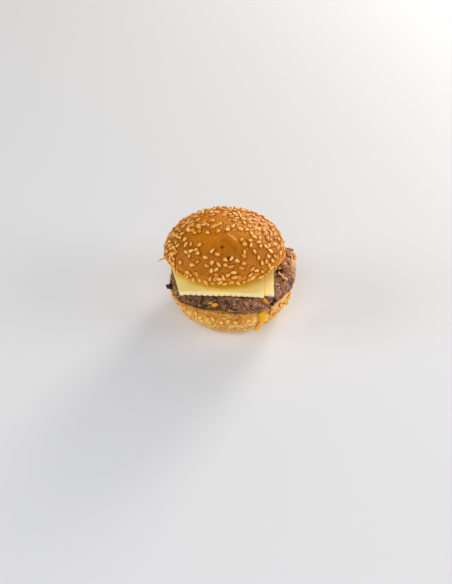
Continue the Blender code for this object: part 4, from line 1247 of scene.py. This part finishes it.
def fried_onion(mottle):
    """Soft fried onion: amber that light passes through, darker towards its tucked-in end as painted shade.
    """
    s = Shading("fried_onion")
    colour = s.mottled(mottle, 260.0, 1400.0, 0.4, linear(255, 190, 0), linear(242, 160, 0))
    return s.finish(
        # painted shade: darker where it starts under the meat
        Base_Color=s.mix(s.range(s.attribute("run"), 0.1, 0.55, 0.6, 0.0), colour, linear(206, 152, 36)),
        Roughness=0.28,
        Normal=s.bump(s.noise(1200.0, 3.0), 0.08 * MM, 0.5),
        Specular_IOR_Level=0.3, Specular_Tint=(1.0, 0.7, 0.2, 1.0),
        Subsurface_Weight=0.6, Subsurface_Radius=(1.0, 0.6, 0.1), Subsurface_Scale=1.2 * MM,
    )


def pale_floor():
    return Shading("floor").finish(
        Base_Color=linear(198, 199, 203), Roughness=0.7,
        Emission_Color=linear(255, 255, 255), Emission_Strength=0.16,
    )


def make_floor(material):
    """A wide pale floor: a flat run, then a quarter of a circle that curves up behind."""
    bend = np.linspace(0.1, 1, 12) * math.pi / 2
    run = np.concatenate([np.linspace(*FLOOR_Y, 24), FLOOR_Y[1] + FLOOR_CURVE * np.sin(bend)])
    rise = np.concatenate([np.zeros(24), FLOOR_CURVE * (1 - np.cos(bend))])
    across = np.linspace(-FLOOR_HALF, FLOOR_HALF, 9)
    points = np.stack(np.broadcast_arrays(across[None, :], run[:, None], rise[:, None]), axis=-1)
    index = np.arange(len(run) * len(across)).reshape(len(run), len(across))
    faces = np.stack([index[:-1, :-1], index[:-1, 1:], index[1:, 1:], index[1:, :-1]], axis=-1)
    add_mesh("floor", points, faces.reshape(-1, 4).tolist(), material)


def add_softbox(name, place, size, power, tint):
    """A square area light that looks at LIGHT_AIM."""
    light = bpy.data.lights.new(name, "AREA")
    light.shape = "SQUARE"
    light.size = size
    light.energy = power
    light.color = tint
    obj = bpy.data.objects.new(name, light)
    obj.location = place
    ahead = np.array(LIGHT_AIM) - np.array(place)
    flat = math.hypot(ahead[0], ahead[1])
    obj.rotation_euler = (math.atan2(flat, -ahead[2]), 0, math.atan2(-ahead[0], ahead[1]))
    bpy.context.scene.collection.objects.link(obj)


def light_scene():
    """Soft daylight: a low and a high window behind to the right, and banks in front and at both sides."""
    world = bpy.data.worlds.new("studio")
    world.use_nodes = True
    sky = world.node_tree.nodes["Background"]
    sky.inputs["Color"].default_value = (1, 1, 1, 1)
    sky.inputs["Strength"].default_value = SKY_STRENGTH
    bpy.context.scene.world = world
    for softbox in LIGHTS:
        add_softbox(*softbox)


def add_camera():
    """Looks down at the front from CAMERA_AWAY, at CAMERA_PITCH below the horizontal."""
    data = bpy.data.cameras.new("camera")
    data.lens = CAMERA_LENS
    data.clip_start = 0.01
    camera = bpy.data.objects.new("camera", data)
    back = np.array((0, -math.cos(CAMERA_PITCH), math.sin(CAMERA_PITCH)))
    camera.location = CAMERA_AIM + back * CAMERA_AWAY
    camera.rotation_euler = (math.pi / 2 - CAMERA_PITCH, 0, 0)
    bpy.context.scene.collection.objects.link(camera)
    bpy.context.scene.camera = camera


def main():
    mottle = mottle_group()
    cheese = pale_cheese(mottle)
    low_sesame = sesame_coat("base_sesame", linear(252, 214, 126), linear(240, 182, 80), linear(212, 134, 30))
    top_sesame = sesame_coat("top_sesame", linear(250, 210, 132), linear(240, 176, 70), linear(198, 112, 10))
    make_heel(pale_crust(mottle), low_sesame)
    make_patty(browned_mince(mottle))
    make_bits(browned_bits())
    make_slice("cheese_under", "cheese_lower", LOWER_SLICE, lower_slice_base, cheese)
    make_slice("cheese_over", "cheese_upper", UPPER_SLICE, upper_slice_base, cheese)
    make_crown(golden_crust(mottle), top_sesame)
    make_onion(fried_onion(mottle))
    make_floor(pale_floor())
    light_scene()
    add_camera()
    bpy.context.scene.view_settings.view_transform = "Standard"


main()
